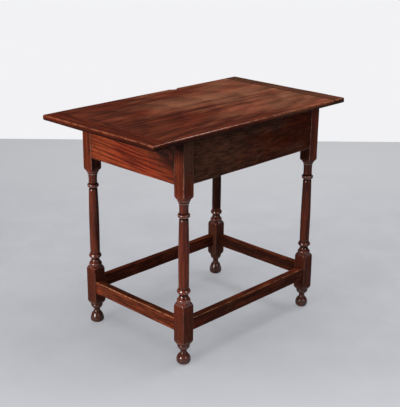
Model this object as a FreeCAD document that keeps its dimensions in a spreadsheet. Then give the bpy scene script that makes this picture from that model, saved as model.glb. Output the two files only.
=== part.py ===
import FreeCAD, Part
import os
import Sketcher

# Tavern table: a cleated two-board top on four turned legs, joined by deep rails
# under the top and by a box stretcher near the floor. Every joint is a pegged
# mortise and tenon.
#
# Frame: +X runs along the table's length, -Y is the front, +Z is up. The origin
# is on the floor under the middle of the top. Millimetres.

V = FreeCAD.Vector
NEAR = 0.01            # mm within which a point counts as lying on a face
PARALLEL = 0.999       # cosine above which an edge counts as parallel to an axis
LEAST_CUT = 0.02       # share of the wood that a turning must take off

# ---------------------------------------------------------------- driving sizes
SIZES = (
    # the whole table
    ("table_height", 704.0),
    ("frame_length", 600.0),           # over the outer faces of the leg blocks
    ("frame_width", 440.0),
    ("end_overhang", 120.0),           # the top past the legs, at each end
    ("side_overhang", 20.0),           # the same, at front and back
    ("frame_shift_right", 6.0),        # the frame stands this far off the top's middle
    ("frame_shift_front", 6.0),
    # the top
    ("top_thickness", 16.0),
    ("front_board_width", 206.0),
    ("cleat_width", 54.0),
    ("tongue_length", 16.0),
    ("tongue_thickness", 5.0),
    ("tongue_stop", 12.0),             # board edge to the tongue's end
    ("tongue_clearance", 0.2),
    ("top_arris_radius", 4.0),         # worn round upper edge
    ("top_under_chamfer", 2.0),
    ("top_corner_radius", 6.0),
    # square parts of the legs
    ("leg_square", 39.0),
    ("leg_arris_round", 1.5),
    ("top_block_length", 162.5),
    ("low_block_length", 119.0),
    ("foot_height", 80.5),             # floor to the bottom of the low block
    # upper turning, measured down from the top block
    ("shoulder_drop", 11.5),
    ("ovolo_diameter", 37.6),
    ("ovolo_drop", 14.0),
    ("neck_fillet_diameter", 28.8),
    ("neck_fillet_drop", 25.5),
    ("neck_fillet_width", 2.5),
    ("neck_top_diameter", 27.0),
    ("neck_top_drop", 29.5),
    ("neck_diameter", 25.6),
    ("neck_drop", 52.0),
    ("ring_top_drop", 53.5),
    ("ring_width", 11.5),
    ("ring_diameter", 35.8),
    ("ring_seat_diameter", 28.0),
    ("shaft_top_diameter", 27.4),
    ("shaft_top_drop", 72.0),
    # lower turning, measured up from the low block
    ("shaft_foot_rise", 48.0),
    ("shaft_foot_diameter", 30.4),
    ("bead_top_rise", 45.0),
    ("bead_seat_diameter", 32.4),
    ("bead_rise", 33.0),
    ("bead_diameter", 41.0),
    ("cove_rise", 22.8),
    ("cove_diameter", 24.0),
    ("cap_rise", 9.5),
    ("cap_diameter", 41.6),
    ("cap_foot_rise", 1.0),
    ("cap_foot_diameter", 41.0),
    ("block_round", 8.0),              # turned corners at the low block's top
    # foot, measured up from the floor
    ("foot_flat_diameter", 28.0),
    ("foot_ball_diameter", 42.6),
    ("foot_ball_rise", 16.0),
    ("foot_throat_diameter", 29.6),
    ("foot_throat_rise", 35.0),
    ("foot_neck_diameter", 22.0),
    ("foot_neck_low_rise", 44.5),
    ("foot_neck_rise", 50.0),
    ("collar_low_diameter", 39.6),
    ("collar_low_rise", 61.5),
    ("collar_diameter", 41.0),
    ("collar_rise", 69.5),
    # rails
    ("rail_depth", 128.0),
    ("rail_thickness", 20.0),
    ("rail_setback", 0.5),             # behind the leg's outer face
    ("rail_tenon_thickness", 10.0),
    ("rail_tenon_shoulder", 8.5),      # rail face to tenon cheek
    ("rail_tenon_low_shoulder", 10.0),
    ("rail_tenon_top_shoulder", 20.0),
    ("rail_arris_round", 1.2),
    # stretchers
    ("stretcher_rise", 113.5),         # floor to the underside
    ("stretcher_depth", 39.7),
    ("stretcher_thickness", 22.0),
    ("stretcher_setback", 1.5),
    ("stretcher_tenon_thickness", 8.0),
    ("stretcher_tenon_shoulder", 7.0),
    ("stretcher_tenon_edge_shoulder", 5.0),
    ("stretcher_worn_round", 3.0),     # the upper outer arris
    ("stretcher_arris_round", 1.2),
    # fits and pegs
    ("mortise_clearance", 0.2),
    ("mitre_gap", 0.6),
    ("peg_clearance", 0.1),
    ("peg_end_room", 2.0),             # bored deeper than the peg is long
    ("peg_taper", 1.0),                # loss of diameter from head to tip
    ("peg_inset", 9.0),                # tenon shoulder to peg axis
    ("rail_peg_diameter", 7.0),
    ("rail_peg_length", 31.0),
    ("rail_peg_edge", 34.0),           # rail edges to peg axes
    ("rail_peg_stagger", 12.0),        # end rails' pegs sit this much lower
    ("stretcher_peg_diameter", 6.0),
    ("stretcher_peg_length", 28.0),
    ("stretcher_peg_stagger", 9.0),
    ("peg_stand", 0.8),                # heads stand proud of the wood
    ("top_peg_diameter", 8.0),
    ("top_peg_length", 48.0),
    ("top_peg_inset_long", 70.0),      # leg's inner face to peg, front and back
    ("top_peg_inset_end", 42.0),       # the same, on the end rails
    ("cleat_peg_diameter", 6.0),
    ("cleat_peg_edge", 32.0),          # board edges to the cleat pegs
)

doc = FreeCAD.newDocument("tavern_table")
sheet = doc.addObject("Spreadsheet::Sheet", "Sizes")
for row, (alias, value) in enumerate(SIZES, start=1):
    sheet.set("A%d" % row, alias)
    sheet.set("B%d" % row, str(value))
    sheet.setAlias("B%d" % row, alias)
doc.recompute()


def worth(expression):
    """The number that an expression of sheet cells comes to."""
    return float(sheet.evalExpression(expression))


def bind(thing, **expressions):
    """Tie an object's properties to expressions of sheet cells."""
    for name, expression in expressions.items():
        thing.setExpression(name, expression)


def place(thing, x="0", y="0", z="0", rotation=FreeCAD.Rotation()):
    """Put an object at x, y, z, given as expressions, after turning it."""
    thing.Placement = FreeCAD.Placement(V(worth(x), worth(y), worth(z)), rotation)
    thing.setExpression("Placement.Base.x", x)
    thing.setExpression("Placement.Base.y", y)
    thing.setExpression("Placement.Base.z", z)


# ------------------------------------------------------------ places in the frame
LEG_HEIGHT = "(Sizes.table_height - Sizes.top_thickness)"
TOP_LENGTH = "(Sizes.frame_length + 2 * Sizes.end_overhang)"
TOP_WIDTH = "(Sizes.frame_width + 2 * Sizes.side_overhang)"
RAIL_BOTTOM = "(%s - Sizes.rail_depth)" % LEG_HEIGHT
TOP_BLOCK_BOTTOM = "(%s - Sizes.top_block_length)" % LEG_HEIGHT
LOW_BLOCK_TOP = "(Sizes.foot_height + Sizes.low_block_length)"
FRAME_X = "Sizes.frame_shift_right"
FRAME_Y = "-Sizes.frame_shift_front"
BOARD_LENGTH = "(%s - 2 * Sizes.cleat_width)" % TOP_LENGTH


# --------------------------------------------------------------- sketch helpers
def plane_of(body, role):
    for feature in body.Origin.OriginFeatures:
        if feature.Role == role:
            return feature
    raise ValueError(role)


def new_sketch(body, name, role="XY_Plane", lift="0"):
    """A sketch on one of the body's origin planes, moved off it by lift."""
    sketch = body.newObject("Sketcher::SketchObject", name)
    sketch.AttachmentSupport = [(plane_of(body, role), "")]
    sketch.MapMode = "FlatFace"
    sketch.AttachmentOffset = FreeCAD.Placement(V(0, 0, worth(lift)), FreeCAD.Rotation())
    sketch.setExpression("AttachmentOffset.Base.z", lift)
    return sketch


def hold_point(sketch, geometry, end, across, up):
    """Dimension one end of an edge from the sketch's axes by two expressions."""
    for kind, expression in (("DistanceX", across), ("DistanceY", up)):
        value = worth(expression)
        index = sketch.addConstraint(Sketcher.Constraint(kind, -1, 1, geometry, end, value))
        sketch.setExpression("Constraints[%d]" % index, expression)


def crown_of(start, finish, bulge):
    """The top of an arc from start to finish that rises bulge halves of its chord."""
    side = V(start.y - finish.y, finish.x - start.x, 0)
    return (start + finish) * 0.5 + side * (bulge / 2.0)


def outline(sketch, points):
    """Close a loop of edges through (across, up, bulge) points.

    Each point is held by two expressions. The bulge belongs to the edge that
    leaves the point: 0 is a straight line, and any other value an arc that
    rises bulge halves of its chord, to the left of travel where positive.
    """
    places = [V(worth(across), worth(up), 0) for across, up, _ in points]
    edges = []
    for i, (_, _, bulge) in enumerate(points):
        start = places[i]
        finish = places[(i + 1) % len(points)]
        if bulge == 0:
            edges.append((sketch.addGeometry(Part.LineSegment(start, finish)), 1, 2))
            continue
        arc = Part.ArcOfCircle(start, crown_of(start, finish, bulge), finish)
        index = sketch.addGeometry(arc)
        # a sketch counts an arc anticlockwise, and a positive bulge runs clockwise
        edges.append((index, 2, 1) if bulge > 0 else (index, 1, 2))
    for i, (geometry, first, last) in enumerate(edges):
        following, its_first, _ = edges[(i + 1) % len(edges)]
        sketch.addConstraint(Sketcher.Constraint("Coincident", geometry, last, following, its_first))
    for i, (across, up, bulge) in enumerate(points):
        geometry, first, _ = edges[i]
        hold_point(sketch, geometry, first, across, up)
        if bulge == 0:
            continue
        next_across, next_up, _ = points[(i + 1) % len(points)]
        chord = "sqrt((%s - (%s))^2 + (%s - (%s))^2)" % (next_across, across, next_up, up)
        radius = "%s * %.6f" % (chord, (1 + bulge ** 2) / (4 * abs(bulge)))
        index = sketch.addConstraint(Sketcher.Constraint("Radius", geometry, worth(radius)))
        sketch.setExpression("Constraints[%d]" % index, radius)


def rectangle(sketch, left, low, right, high):
    outline(sketch, ((left, low, 0), (right, low, 0), (right, high, 0), (left, high, 0)))


def pad(body, name, sketch, length):
    feature = body.newObject("PartDesign::Pad", name)
    feature.Profile = sketch
    bind(feature, Length=length)
    return feature


def cut_through(body, name, sketch):
    """A pocket that runs right through the body on both sides of its sketch."""
    feature = body.newObject("PartDesign::Pocket", name)
    feature.Profile = sketch
    feature.SideType = "Symmetric"
    feature.Type = "ThroughAll"
    return feature


def edges_where(shape, test):
    """Names of the straight or round edges whose middle point passes the test."""
    names = []
    for number, edge in enumerate(shape.Edges, start=1):
        middle = edge.valueAt((edge.FirstParameter + edge.LastParameter) / 2.0)
        if test(middle, edge):
            names.append("Edge%d" % number)
    return names


def is_straight(edge):
    return edge.Curve.TypeId == "Part::GeomLine"


def is_upright(edge):
    return is_straight(edge) and abs(edge.tangentAt(edge.FirstParameter).z) > PARALLEL


def runs_along_x(edge):
    return is_straight(edge) and abs(edge.tangentAt(edge.FirstParameter).x) > PARALLEL


def dress(body, kind, name, size_property, size, test):
    """Round or chamfer the edges of the body's tip that pass the test."""
    doc.recompute()
    base = body.Tip
    feature = body.newObject("PartDesign::" + kind, name)
    feature.Base = (base, edges_where(base.Shape, test))
    feature.setExpression(size_property, size)
    return feature


NODES = []


def sub_part(thing, label):
    thing.Label = label
    NODES.append(thing)
    return thing


# --------------------------------------------------------------------- the legs
def half(alias):
    return "(Sizes.%s / 2)" % alias


def below_top(alias):
    return "(%s - Sizes.%s)" % (TOP_BLOCK_BOTTOM, alias)


def above_low(alias):
    return "(%s + Sizes.%s)" % (LOW_BLOCK_TOP, alias)


CORNER = "(Sizes.leg_square / sqrt(2))"             # the square's half diagonal
CLEAR_OF_SQUARE = "(Sizes.leg_square * 3 / 4)"      # just outside its corners

# Turned outlines as (radius, height, bulge), each closed outside the square.
# Travel is downwards on the wood, so positive bulges swell away from the axis.
SHAFT_TURNING = (
    (CLEAR_OF_SQUARE, TOP_BLOCK_BOTTOM, 0),
    (CORNER, TOP_BLOCK_BOTTOM, 0.20),
    (half("leg_square"), below_top("shoulder_drop"), 0),
    (half("ovolo_diameter"), below_top("ovolo_drop"), 0.15),
    (half("neck_fillet_diameter"), below_top("neck_fillet_drop"), 0),
    (half("neck_fillet_diameter"), below_top("neck_fillet_drop - Sizes.neck_fillet_width"), 0),
    (half("neck_top_diameter"), below_top("neck_top_drop"), -0.04),
    (half("neck_diameter"), below_top("neck_drop"), 0),
    (half("ring_seat_diameter"), below_top("ring_top_drop"), 0.40),
    (half("ring_diameter"), below_top("ring_top_drop - Sizes.ring_width / 2"), 0.40),
    (half("ring_seat_diameter"), below_top("ring_top_drop - Sizes.ring_width"), -0.35),
    (half("shaft_top_diameter"), below_top("shaft_top_drop"), 0.01),
    (half("shaft_foot_diameter"), above_low("shaft_foot_rise"), -0.20),
    (half("bead_seat_diameter"), above_low("bead_top_rise"), 0.15),
    (half("bead_diameter"), above_low("bead_rise"), 0.10),
    (half("cove_diameter"), above_low("cove_rise"), -0.10),
    (half("cap_diameter"), above_low("cap_rise"), 0.25),
    (half("cap_foot_diameter"), above_low("cap_foot_rise"), 0),
    (half("cap_foot_diameter"), LOW_BLOCK_TOP, 0.25),
    (CORNER, "%s - Sizes.block_round" % LOW_BLOCK_TOP, 0),
    (CLEAR_OF_SQUARE, "%s - Sizes.block_round" % LOW_BLOCK_TOP, 0),
)
FOOT_TURNING = (
    (CLEAR_OF_SQUARE, "Sizes.foot_height", 0),
    (CORNER, "Sizes.foot_height", 0.15),
    (half("collar_diameter"), "Sizes.collar_rise", 0.25),
    (half("collar_low_diameter"), "Sizes.collar_low_rise", 0.10),
    (half("foot_neck_diameter"), "Sizes.foot_neck_rise", -0.05),
    (half("foot_neck_diameter"), "Sizes.foot_neck_low_rise", -0.20),
    (half("foot_throat_diameter"), "Sizes.foot_throat_rise", 0.22),
    (half("foot_ball_diameter"), "Sizes.foot_ball_rise", 0.30),
    (half("foot_flat_diameter"), "0", 0),
    (CLEAR_OF_SQUARE, "0", 0),
)


def turned_blank():
    """The leg before it is mortised: a square length, turned between its blocks."""
    body = doc.addObject("PartDesign::Body", "turned_blank")
    square = new_sketch(body, "square")
    side = half("leg_square")
    rectangle(square, "-" + side, "-" + side, side, side)
    pad(body, "square_length", square, LEG_HEIGHT)
    dress(body, "Fillet", "arrises", "Radius", "Sizes.leg_arris_round",
          lambda middle, edge: is_upright(edge))
    doc.recompute()
    for name, turning in (("shaft_turning", SHAFT_TURNING), ("foot_turning", FOOT_TURNING)):
        before = body.Shape.Volume
        sketch = new_sketch(body, name + "_outline", "XZ_Plane")
        outline(sketch, turning)
        groove = body.newObject("PartDesign::Groove", name)
        groove.Profile = sketch
        groove.ReferenceAxis = (sketch, ["V_Axis"])
        groove.Angle = 360.0
        doc.recompute()
        if body.Shape.Volume > (1 - LEAST_CUT) * before:
            raise RuntimeError(name + " removed too little wood")
    return body


def mortise(name, x_low, x_high, y_low, y_high, z_low, z_high):
    box = doc.addObject("Part::Box", name)
    bind(box, Length="%s - (%s)" % (x_high, x_low), Width="%s - (%s)" % (y_high, y_low),
         Height="%s - (%s)" % (z_high, z_low))
    place(box, x_low, y_low, z_low)
    return box


def tenon_span(kind):
    """Low and high ends of a rail's or stretcher's tenon, as expressions."""
    if kind == "rail":
        return ("(%s + Sizes.rail_tenon_low_shoulder)" % RAIL_BOTTOM,
                "(%s - Sizes.rail_tenon_top_shoulder)" % LEG_HEIGHT)
    return ("(Sizes.stretcher_rise + Sizes.stretcher_tenon_edge_shoulder)",
            "(Sizes.stretcher_rise + Sizes.stretcher_depth - Sizes.stretcher_tenon_edge_shoulder)")


def cheek(kind):
    """Leg's outer face to the tenon's outer cheek."""
    return "(Sizes.%s_setback + Sizes.%s_tenon_shoulder)" % (kind, kind)


def peg_heights(kind, end_member):
    """Heights of the pegs through one tenon; those of the end members sit lower."""
    if kind == "rail":
        drop = " - Sizes.rail_peg_stagger" if end_member else ""
        return ("(%s - Sizes.rail_peg_edge%s)" % (LEG_HEIGHT, drop),
                "(%s + Sizes.rail_peg_edge%s)" % (RAIL_BOTTOM, drop))
    middle = "Sizes.stretcher_rise + Sizes.stretcher_depth / 2"
    step = "-" if end_member else "+"
    return ("(%s %s Sizes.stretcher_peg_stagger / 2)" % (middle, step),)


def bore(name, diameter, length, x, y, z, direction):
    """A round tool from a point on a face into the wood along direction."""
    tool = doc.addObject("Part::Cylinder", name)
    bind(tool, Radius="%s / 2 + Sizes.peg_clearance" % diameter, Height=length)
    place(tool, x, y, z, FreeCAD.Rotation(V(0, 0, 1), direction))
    return tool


def leg(label, blank, side_x, side_y):
    """One leg. side_x and side_y say which corner of the table it stands in."""
    face = half("leg_square")
    tools = []
    for kind in ("rail", "stretcher"):
        low, high = tenon_span(kind)
        z_low = "%s - Sizes.mortise_clearance" % low
        z_high = "%s + Sizes.mortise_clearance" % high
        near = "(%s - %s + Sizes.mortise_clearance)" % (face, cheek(kind))
        far = "(%s - %s - Sizes.%s_tenon_thickness - Sizes.mortise_clearance)" % (face, cheek(kind), kind)
        spans = {}
        for axis, side in (("x", side_x), ("y", side_y)):
            if side > 0:
                spans[axis] = (far, near, "-%s" % face, near)
            else:
                spans[axis] = ("-" + near, "-" + far, "-" + near, face)
        thin_x = spans["x"][:2]
        long_x = spans["x"][2:]
        thin_y = spans["y"][:2]
        long_y = spans["y"][2:]
        tools.append(mortise("%s_%s_mortise_long" % (label, kind), *long_x, *thin_y, z_low, z_high))
        tools.append(mortise("%s_%s_mortise_end" % (label, kind), *thin_x, *long_y, z_low, z_high))
        depth = "Sizes.%s_peg_length + Sizes.peg_end_room" % kind
        diameter = "Sizes.%s_peg_diameter" % kind
        inner = "(Sizes.peg_inset - %s)" % face
        for number, height in enumerate(peg_heights(kind, False)):
            tools.append(bore("%s_%s_bore_long_%d" % (label, kind, number), diameter, depth,
                              "%d * %s" % (side_x, inner), "%d * %s" % (side_y, face), height,
                              V(0, -side_y, 0)))
        for number, height in enumerate(peg_heights(kind, True)):
            tools.append(bore("%s_%s_bore_end_%d" % (label, kind, number), diameter, depth,
                              "%d * %s" % (side_x, face), "%d * %s" % (side_y, inner), height,
                              V(-side_x, 0, 0)))
    joinery = doc.addObject("Part::MultiFuse", label + "_joinery")
    joinery.Shapes = tools
    node = doc.addObject("Part::Cut", label)
    node.Base = blank
    node.Tool = joinery
    place(node, "%d * (Sizes.frame_length - Sizes.leg_square) / 2 + %s" % (side_x, FRAME_X),
          "%d * (Sizes.frame_width - Sizes.leg_square) / 2 + %s" % (side_y, FRAME_Y))
    return sub_part(node, label)


# ----------------------------------------------------------- rails and stretchers
def mirror_pair(expression):
    return ("-(%s)" % expression, expression)


def circles(sketch, centres, diameter):
    """Round holes with peg clearance at the given (across, up) expressions."""
    radius = "%s / 2 + Sizes.peg_clearance" % diameter
    for across, up in centres:
        middle = V(worth(across), worth(up), 0)
        geometry = sketch.addGeometry(Part.Circle(middle, V(0, 0, 1), worth(radius)))
        hold_point(sketch, geometry, 3, across, up)
        index = sketch.addConstraint(Sketcher.Constraint("Radius", geometry, worth(radius)))
        sketch.setExpression("Constraints[%d]" % index, radius)


def turned_to(angle):
    return FreeCAD.Rotation(V(0, 0, 1), angle)


# The four sides of the frame: name, span over the legs' outer faces, reach from
# the frame's middle to the side's own outer face, turn from the front, and
# whether the side is an end.
SIDES = (
    ("front", "Sizes.frame_length", "Sizes.frame_width / 2", 0, False),
    ("right", "Sizes.frame_width", "Sizes.frame_length / 2", 90, True),
    ("back", "Sizes.frame_length", "Sizes.frame_width / 2", 180, False),
    ("left", "Sizes.frame_width", "Sizes.frame_length / 2", 270, True),
)


def member(label, kind, span, reach, low, depth):
    """A rail or stretcher lying along X with its outer face towards -Y.

    Its tenons are one strip through the member, mitred at the tips where they
    meet the neighbour's tenon inside the leg.
    """
    body = doc.addObject("PartDesign::Body", label)
    shoulder = "(%s / 2 - Sizes.leg_square)" % span
    outer = "(Sizes.%s_setback - %s)" % (kind, reach)
    inner = "(%s + Sizes.%s_thickness)" % (outer, kind)
    plan = new_sketch(body, label + "_plan", lift=low)
    rectangle(plan, "-" + shoulder, outer, shoulder, inner)
    pad(body, label + "_length", plan, depth)
    strip_outer = "(%s - %s)" % (cheek(kind), reach)
    strip_inner = "(%s + Sizes.%s_tenon_thickness)" % (strip_outer, kind)
    long_tip = "(%s / 2 - %s - Sizes.mitre_gap)" % (span, cheek(kind))
    short_tip = "(%s - Sizes.%s_tenon_thickness)" % (long_tip, kind)
    tenon_low, tenon_high = tenon_span(kind)
    tenons = new_sketch(body, label + "_tenon_plan", lift=tenon_low)
    outline(tenons, (("-" + long_tip, strip_outer, 0), (long_tip, strip_outer, 0),
                     (short_tip, strip_inner, 0), ("-" + short_tip, strip_inner, 0)))
    pad(body, label + "_tenons", tenons, "%s - %s" % (tenon_high, tenon_low))
    return body


def peg_places(kind, span, is_end):
    """Where the pegs cross the tenons: (along, height) pairs."""
    along = "%s / 2 - Sizes.leg_square + Sizes.peg_inset" % span
    return [(x, z) for x in mirror_pair(along) for z in peg_heights(kind, is_end)]


def bore_tenons(body, label, kind, span, is_end):
    sketch = new_sketch(body, label + "_peg_places", "XZ_Plane")
    circles(sketch, peg_places(kind, span, is_end), "Sizes.%s_peg_diameter" % kind)
    cut_through(body, label + "_peg_bores", sketch)


def top_peg_along(span, is_end):
    inset = "top_peg_inset_end" if is_end else "top_peg_inset_long"
    return "(%s / 2 - Sizes.leg_square - Sizes.%s)" % (span, inset)


def rail_axis(reach):
    """Middle of the table to the middle of a rail's thickness."""
    return "(%s - Sizes.rail_setback - Sizes.rail_thickness / 2)" % reach


def rail(label, span, reach, angle, is_end):
    body = member(label, "rail", span, reach, RAIL_BOTTOM, "Sizes.rail_depth")
    low = worth(RAIL_BOTTOM)
    dress(body, "Fillet", label + "_arrises", "Radius", "Sizes.rail_arris_round",
          lambda middle, edge: runs_along_x(edge) and abs(middle.z - low) < NEAR)
    bore_tenons(body, label, "rail", span, is_end)
    seats = new_sketch(body, label + "_top_peg_places", lift=LEG_HEIGHT)
    along = top_peg_along(span, is_end)
    circles(seats, [(x, "-" + rail_axis(reach)) for x in mirror_pair(along)], "Sizes.top_peg_diameter")
    sockets = body.newObject("PartDesign::Pocket", label + "_top_peg_sockets")
    sockets.Profile = seats
    bind(sockets, Length="Sizes.top_peg_length - Sizes.top_thickness + Sizes.peg_end_room")
    place(body, FRAME_X, FRAME_Y, rotation=turned_to(angle))
    return sub_part(body, label)


def stretcher(label, span, reach, angle, is_end):
    body = member(label, "stretcher", span, reach, "Sizes.stretcher_rise", "Sizes.stretcher_depth")
    top = worth("Sizes.stretcher_rise + Sizes.stretcher_depth")
    low = worth("Sizes.stretcher_rise")
    outer = worth("Sizes.stretcher_setback - %s" % reach)
    inner = worth("Sizes.stretcher_setback - %s + Sizes.stretcher_thickness" % reach)

    def is_worn(middle):
        return abs(middle.z - top) < NEAR and abs(middle.y - outer) < NEAR

    def is_eased(middle):
        return abs(middle.z - low) < NEAR or abs(middle.z - top) < NEAR and abs(middle.y - inner) < NEAR

    dress(body, "Fillet", label + "_worn_arris", "Radius", "Sizes.stretcher_worn_round",
          lambda middle, edge: runs_along_x(edge) and is_worn(middle))
    dress(body, "Fillet", label + "_arrises", "Radius", "Sizes.stretcher_arris_round",
          lambda middle, edge: runs_along_x(edge) and is_eased(middle))
    bore_tenons(body, label, "stretcher", span, is_end)
    place(body, FRAME_X, FRAME_Y, rotation=turned_to(angle))
    return sub_part(body, label)


# ------------------------------------------------------------------------- pegs
def peg(name, diameter, length, x, y, z, direction):
    """A whittled peg: its head at x, y, z, tapering along direction."""
    cone = doc.addObject("Part::Cone", name)
    bind(cone, Radius1="%s / 2" % diameter, Radius2="(%s - Sizes.peg_taper) / 2" % diameter,
         Height=length)
    place(cone, x, y, z, FreeCAD.Rotation(V(0, 0, 1), direction))
    return cone


def peg_group(label, pegs, x="0", y="0", angle=0):
    group = doc.addObject("Part::Compound", label)
    group.Links = pegs
    place(group, x, y, rotation=turned_to(angle))
    return sub_part(group, label)


def tenon_pegs(label, kind, span, reach, angle, is_end):
    head = "-(%s + Sizes.peg_stand)" % reach
    pegs = []
    for number, (x, z) in enumerate(peg_places(kind, span, is_end), start=1):
        pegs.append(peg("%s_%d" % (label, number), "Sizes.%s_peg_diameter" % kind,
                        "Sizes.%s_peg_length" % kind, x, head, z, V(0, 1, 0)))
    return peg_group(label, pegs, FRAME_X, FRAME_Y, angle)


def top_pegs(label, span, reach, angle, is_end):
    pegs = []
    for number, x in enumerate(mirror_pair(top_peg_along(span, is_end)), start=1):
        pegs.append(peg("%s_%d" % (label, number), "Sizes.top_peg_diameter", "Sizes.top_peg_length",
                        x, "-" + rail_axis(reach), "Sizes.table_height", V(0, 0, -1)))
    return peg_group(label, pegs, FRAME_X, FRAME_Y, angle)


# -------------------------------------------------------------------------- top
BOARD_JOINT = "(Sizes.front_board_width - %s / 2)" % TOP_WIDTH
BOARD_END = "(%s / 2)" % BOARD_LENGTH
EDGE = "(%s / 2)" % TOP_WIDTH
TONGUE_LOW = "(%s + Sizes.top_thickness / 2 - Sizes.tongue_thickness / 2)" % LEG_HEIGHT
TONGUE_EDGE = "(%s - Sizes.tongue_stop)" % EDGE
CLEAT_PEG_ALONG = "(%s + Sizes.tongue_length / 2)" % BOARD_END


def rail_peg_places(side):
    """Pegs from one board into the rails: two in the long rail, one in each end rail."""
    into_long = "%d * %s + %s" % (side, rail_axis("Sizes.frame_width / 2"), FRAME_Y)
    into_end = "%d * %s + %s" % (side, top_peg_along("Sizes.frame_width", True), FRAME_Y)
    long_xs = mirror_pair(top_peg_along("Sizes.frame_length", False))
    end_xs = mirror_pair(rail_axis("Sizes.frame_length / 2"))
    places = [("%s + %s" % (x, FRAME_X), into_long) for x in long_xs]
    places += [("%s + %s" % (x, FRAME_X), into_end) for x in end_xs]
    return places


def cleat_peg_ys(low, high):
    return ("(%s + Sizes.cleat_peg_edge)" % low, "(%s - Sizes.cleat_peg_edge)" % high)


def soften_edge(body, label, is_outer):
    """Round the upper arris of the outer faces and ease the lower one."""
    top = worth("Sizes.table_height")
    low = worth(LEG_HEIGHT)
    dress(body, "Fillet", label + "_upper_arris", "Radius", "Sizes.top_arris_radius",
          lambda middle, edge: abs(middle.z - top) < NEAR and is_outer(middle))
    dress(body, "Chamfer", label + "_under_edge", "Size", "Sizes.top_under_chamfer",
          lambda middle, edge: abs(middle.z - low) < NEAR and is_outer(middle))


def top_board(label, low, high, tongue_low, tongue_high, side):
    """A board of the top; side is -1 where its outer edge is the front one."""
    body = doc.addObject("PartDesign::Body", label)
    plan = new_sketch(body, label + "_plan", lift=LEG_HEIGHT)
    rectangle(plan, "-" + BOARD_END, low, BOARD_END, high)
    pad(body, label + "_board", plan, "Sizes.top_thickness")
    edge = worth("%d * %s" % (side, EDGE))
    soften_edge(body, label, lambda middle: abs(middle.y - edge) < NEAR)
    tongue = new_sketch(body, label + "_tongue_plan", lift=TONGUE_LOW)
    tip = "(%s + Sizes.tongue_length)" % BOARD_END
    rectangle(tongue, "-" + tip, tongue_low, tip, tongue_high)
    pad(body, label + "_tongues", tongue, "Sizes.tongue_thickness")
    rail_holes = new_sketch(body, label + "_rail_peg_places", lift=LEG_HEIGHT)
    circles(rail_holes, rail_peg_places(side), "Sizes.top_peg_diameter")
    cut_through(body, label + "_rail_peg_bores", rail_holes)
    cleat_holes = new_sketch(body, label + "_cleat_peg_places", lift=LEG_HEIGHT)
    circles(cleat_holes, [(x, y) for x in mirror_pair(CLEAT_PEG_ALONG) for y in cleat_peg_ys(low, high)],
            "Sizes.cleat_peg_diameter")
    cut_through(body, label + "_cleat_peg_bores", cleat_holes)
    return sub_part(body, label)


def cleat(label, angle):
    """An end cleat, drawn at the right end and turned round for the left one."""
    body = doc.addObject("PartDesign::Body", label)
    plan = new_sketch(body, label + "_plan", lift=LEG_HEIGHT)
    rectangle(plan, BOARD_END, "-" + EDGE, "(%s / 2)" % TOP_LENGTH, EDGE)
    pad(body, label + "_board", plan, "Sizes.top_thickness")
    end = worth("%s / 2" % TOP_LENGTH)
    inner = worth(BOARD_END)
    dress(body, "Fillet", label + "_corners", "Radius", "Sizes.top_corner_radius",
          lambda middle, edge: is_upright(edge) and abs(middle.x - end) < NEAR)
    soften_edge(body, label, lambda middle: middle.x > inner + NEAR)
    slot = new_sketch(body, label + "_groove_plan",
                      lift="%s + Sizes.tongue_thickness + Sizes.tongue_clearance" % TONGUE_LOW)
    stop = "(%s + Sizes.tongue_clearance)" % TONGUE_EDGE
    rectangle(slot, BOARD_END, "-" + stop,
              "(%s + Sizes.tongue_length + Sizes.tongue_clearance)" % BOARD_END, stop)
    groove = body.newObject("PartDesign::Pocket", label + "_groove")
    groove.Profile = slot
    bind(groove, Length="Sizes.tongue_thickness + 2 * Sizes.tongue_clearance")
    # the left cleat is this one turned half round, so its bores mirror end for end
    sign = -1 if angle else 1
    ys = cleat_peg_ys("-" + EDGE, BOARD_JOINT) + cleat_peg_ys(BOARD_JOINT, EDGE)
    holes = new_sketch(body, label + "_peg_places", lift=LEG_HEIGHT)
    circles(holes, [(CLEAT_PEG_ALONG, "%d * %s" % (sign, y)) for y in ys], "Sizes.cleat_peg_diameter")
    cut_through(body, label + "_peg_bores", holes)
    place(body, rotation=turned_to(angle))
    return sub_part(body, label)


def cleat_pegs(label, sign):
    ys = cleat_peg_ys("-" + EDGE, BOARD_JOINT) + cleat_peg_ys(BOARD_JOINT, EDGE)
    pegs = []
    for number, y in enumerate(ys, start=1):
        pegs.append(peg("%s_%d" % (label, number), "Sizes.cleat_peg_diameter", "Sizes.top_thickness",
                        "%d * %s" % (sign, CLEAT_PEG_ALONG), y, "Sizes.table_height", V(0, 0, -1)))
    return peg_group(label, pegs)


# ------------------------------------------------------------------- the assembly
blank = turned_blank()
for depth_name, side_y in (("front", -1), ("back", 1)):
    for width_name, side_x in (("left", -1), ("right", 1)):
        leg("leg_%s_%s" % (depth_name, width_name), blank, side_x, side_y)

for side, span, reach, angle, is_end in SIDES:
    rail("rail_" + side, span, reach, angle, is_end)
    stretcher("stretcher_" + side, span, reach, angle, is_end)
    tenon_pegs("rail_pegs_" + side, "rail", span, reach, angle, is_end)
    tenon_pegs("stretcher_pegs_" + side, "stretcher", span, reach, angle, is_end)
    top_pegs("top_pegs_" + side, span, reach, angle, is_end)

top_board("top_board_front", "-" + EDGE, BOARD_JOINT, "-" + TONGUE_EDGE, BOARD_JOINT, -1)
top_board("top_board_back", BOARD_JOINT, EDGE, BOARD_JOINT, TONGUE_EDGE, 1)
cleat("top_cleat_right", 0)
cleat("top_cleat_left", 180)
cleat_pegs("cleat_pegs_right", 1)
cleat_pegs("cleat_pegs_left", -1)
doc.recompute()

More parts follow.
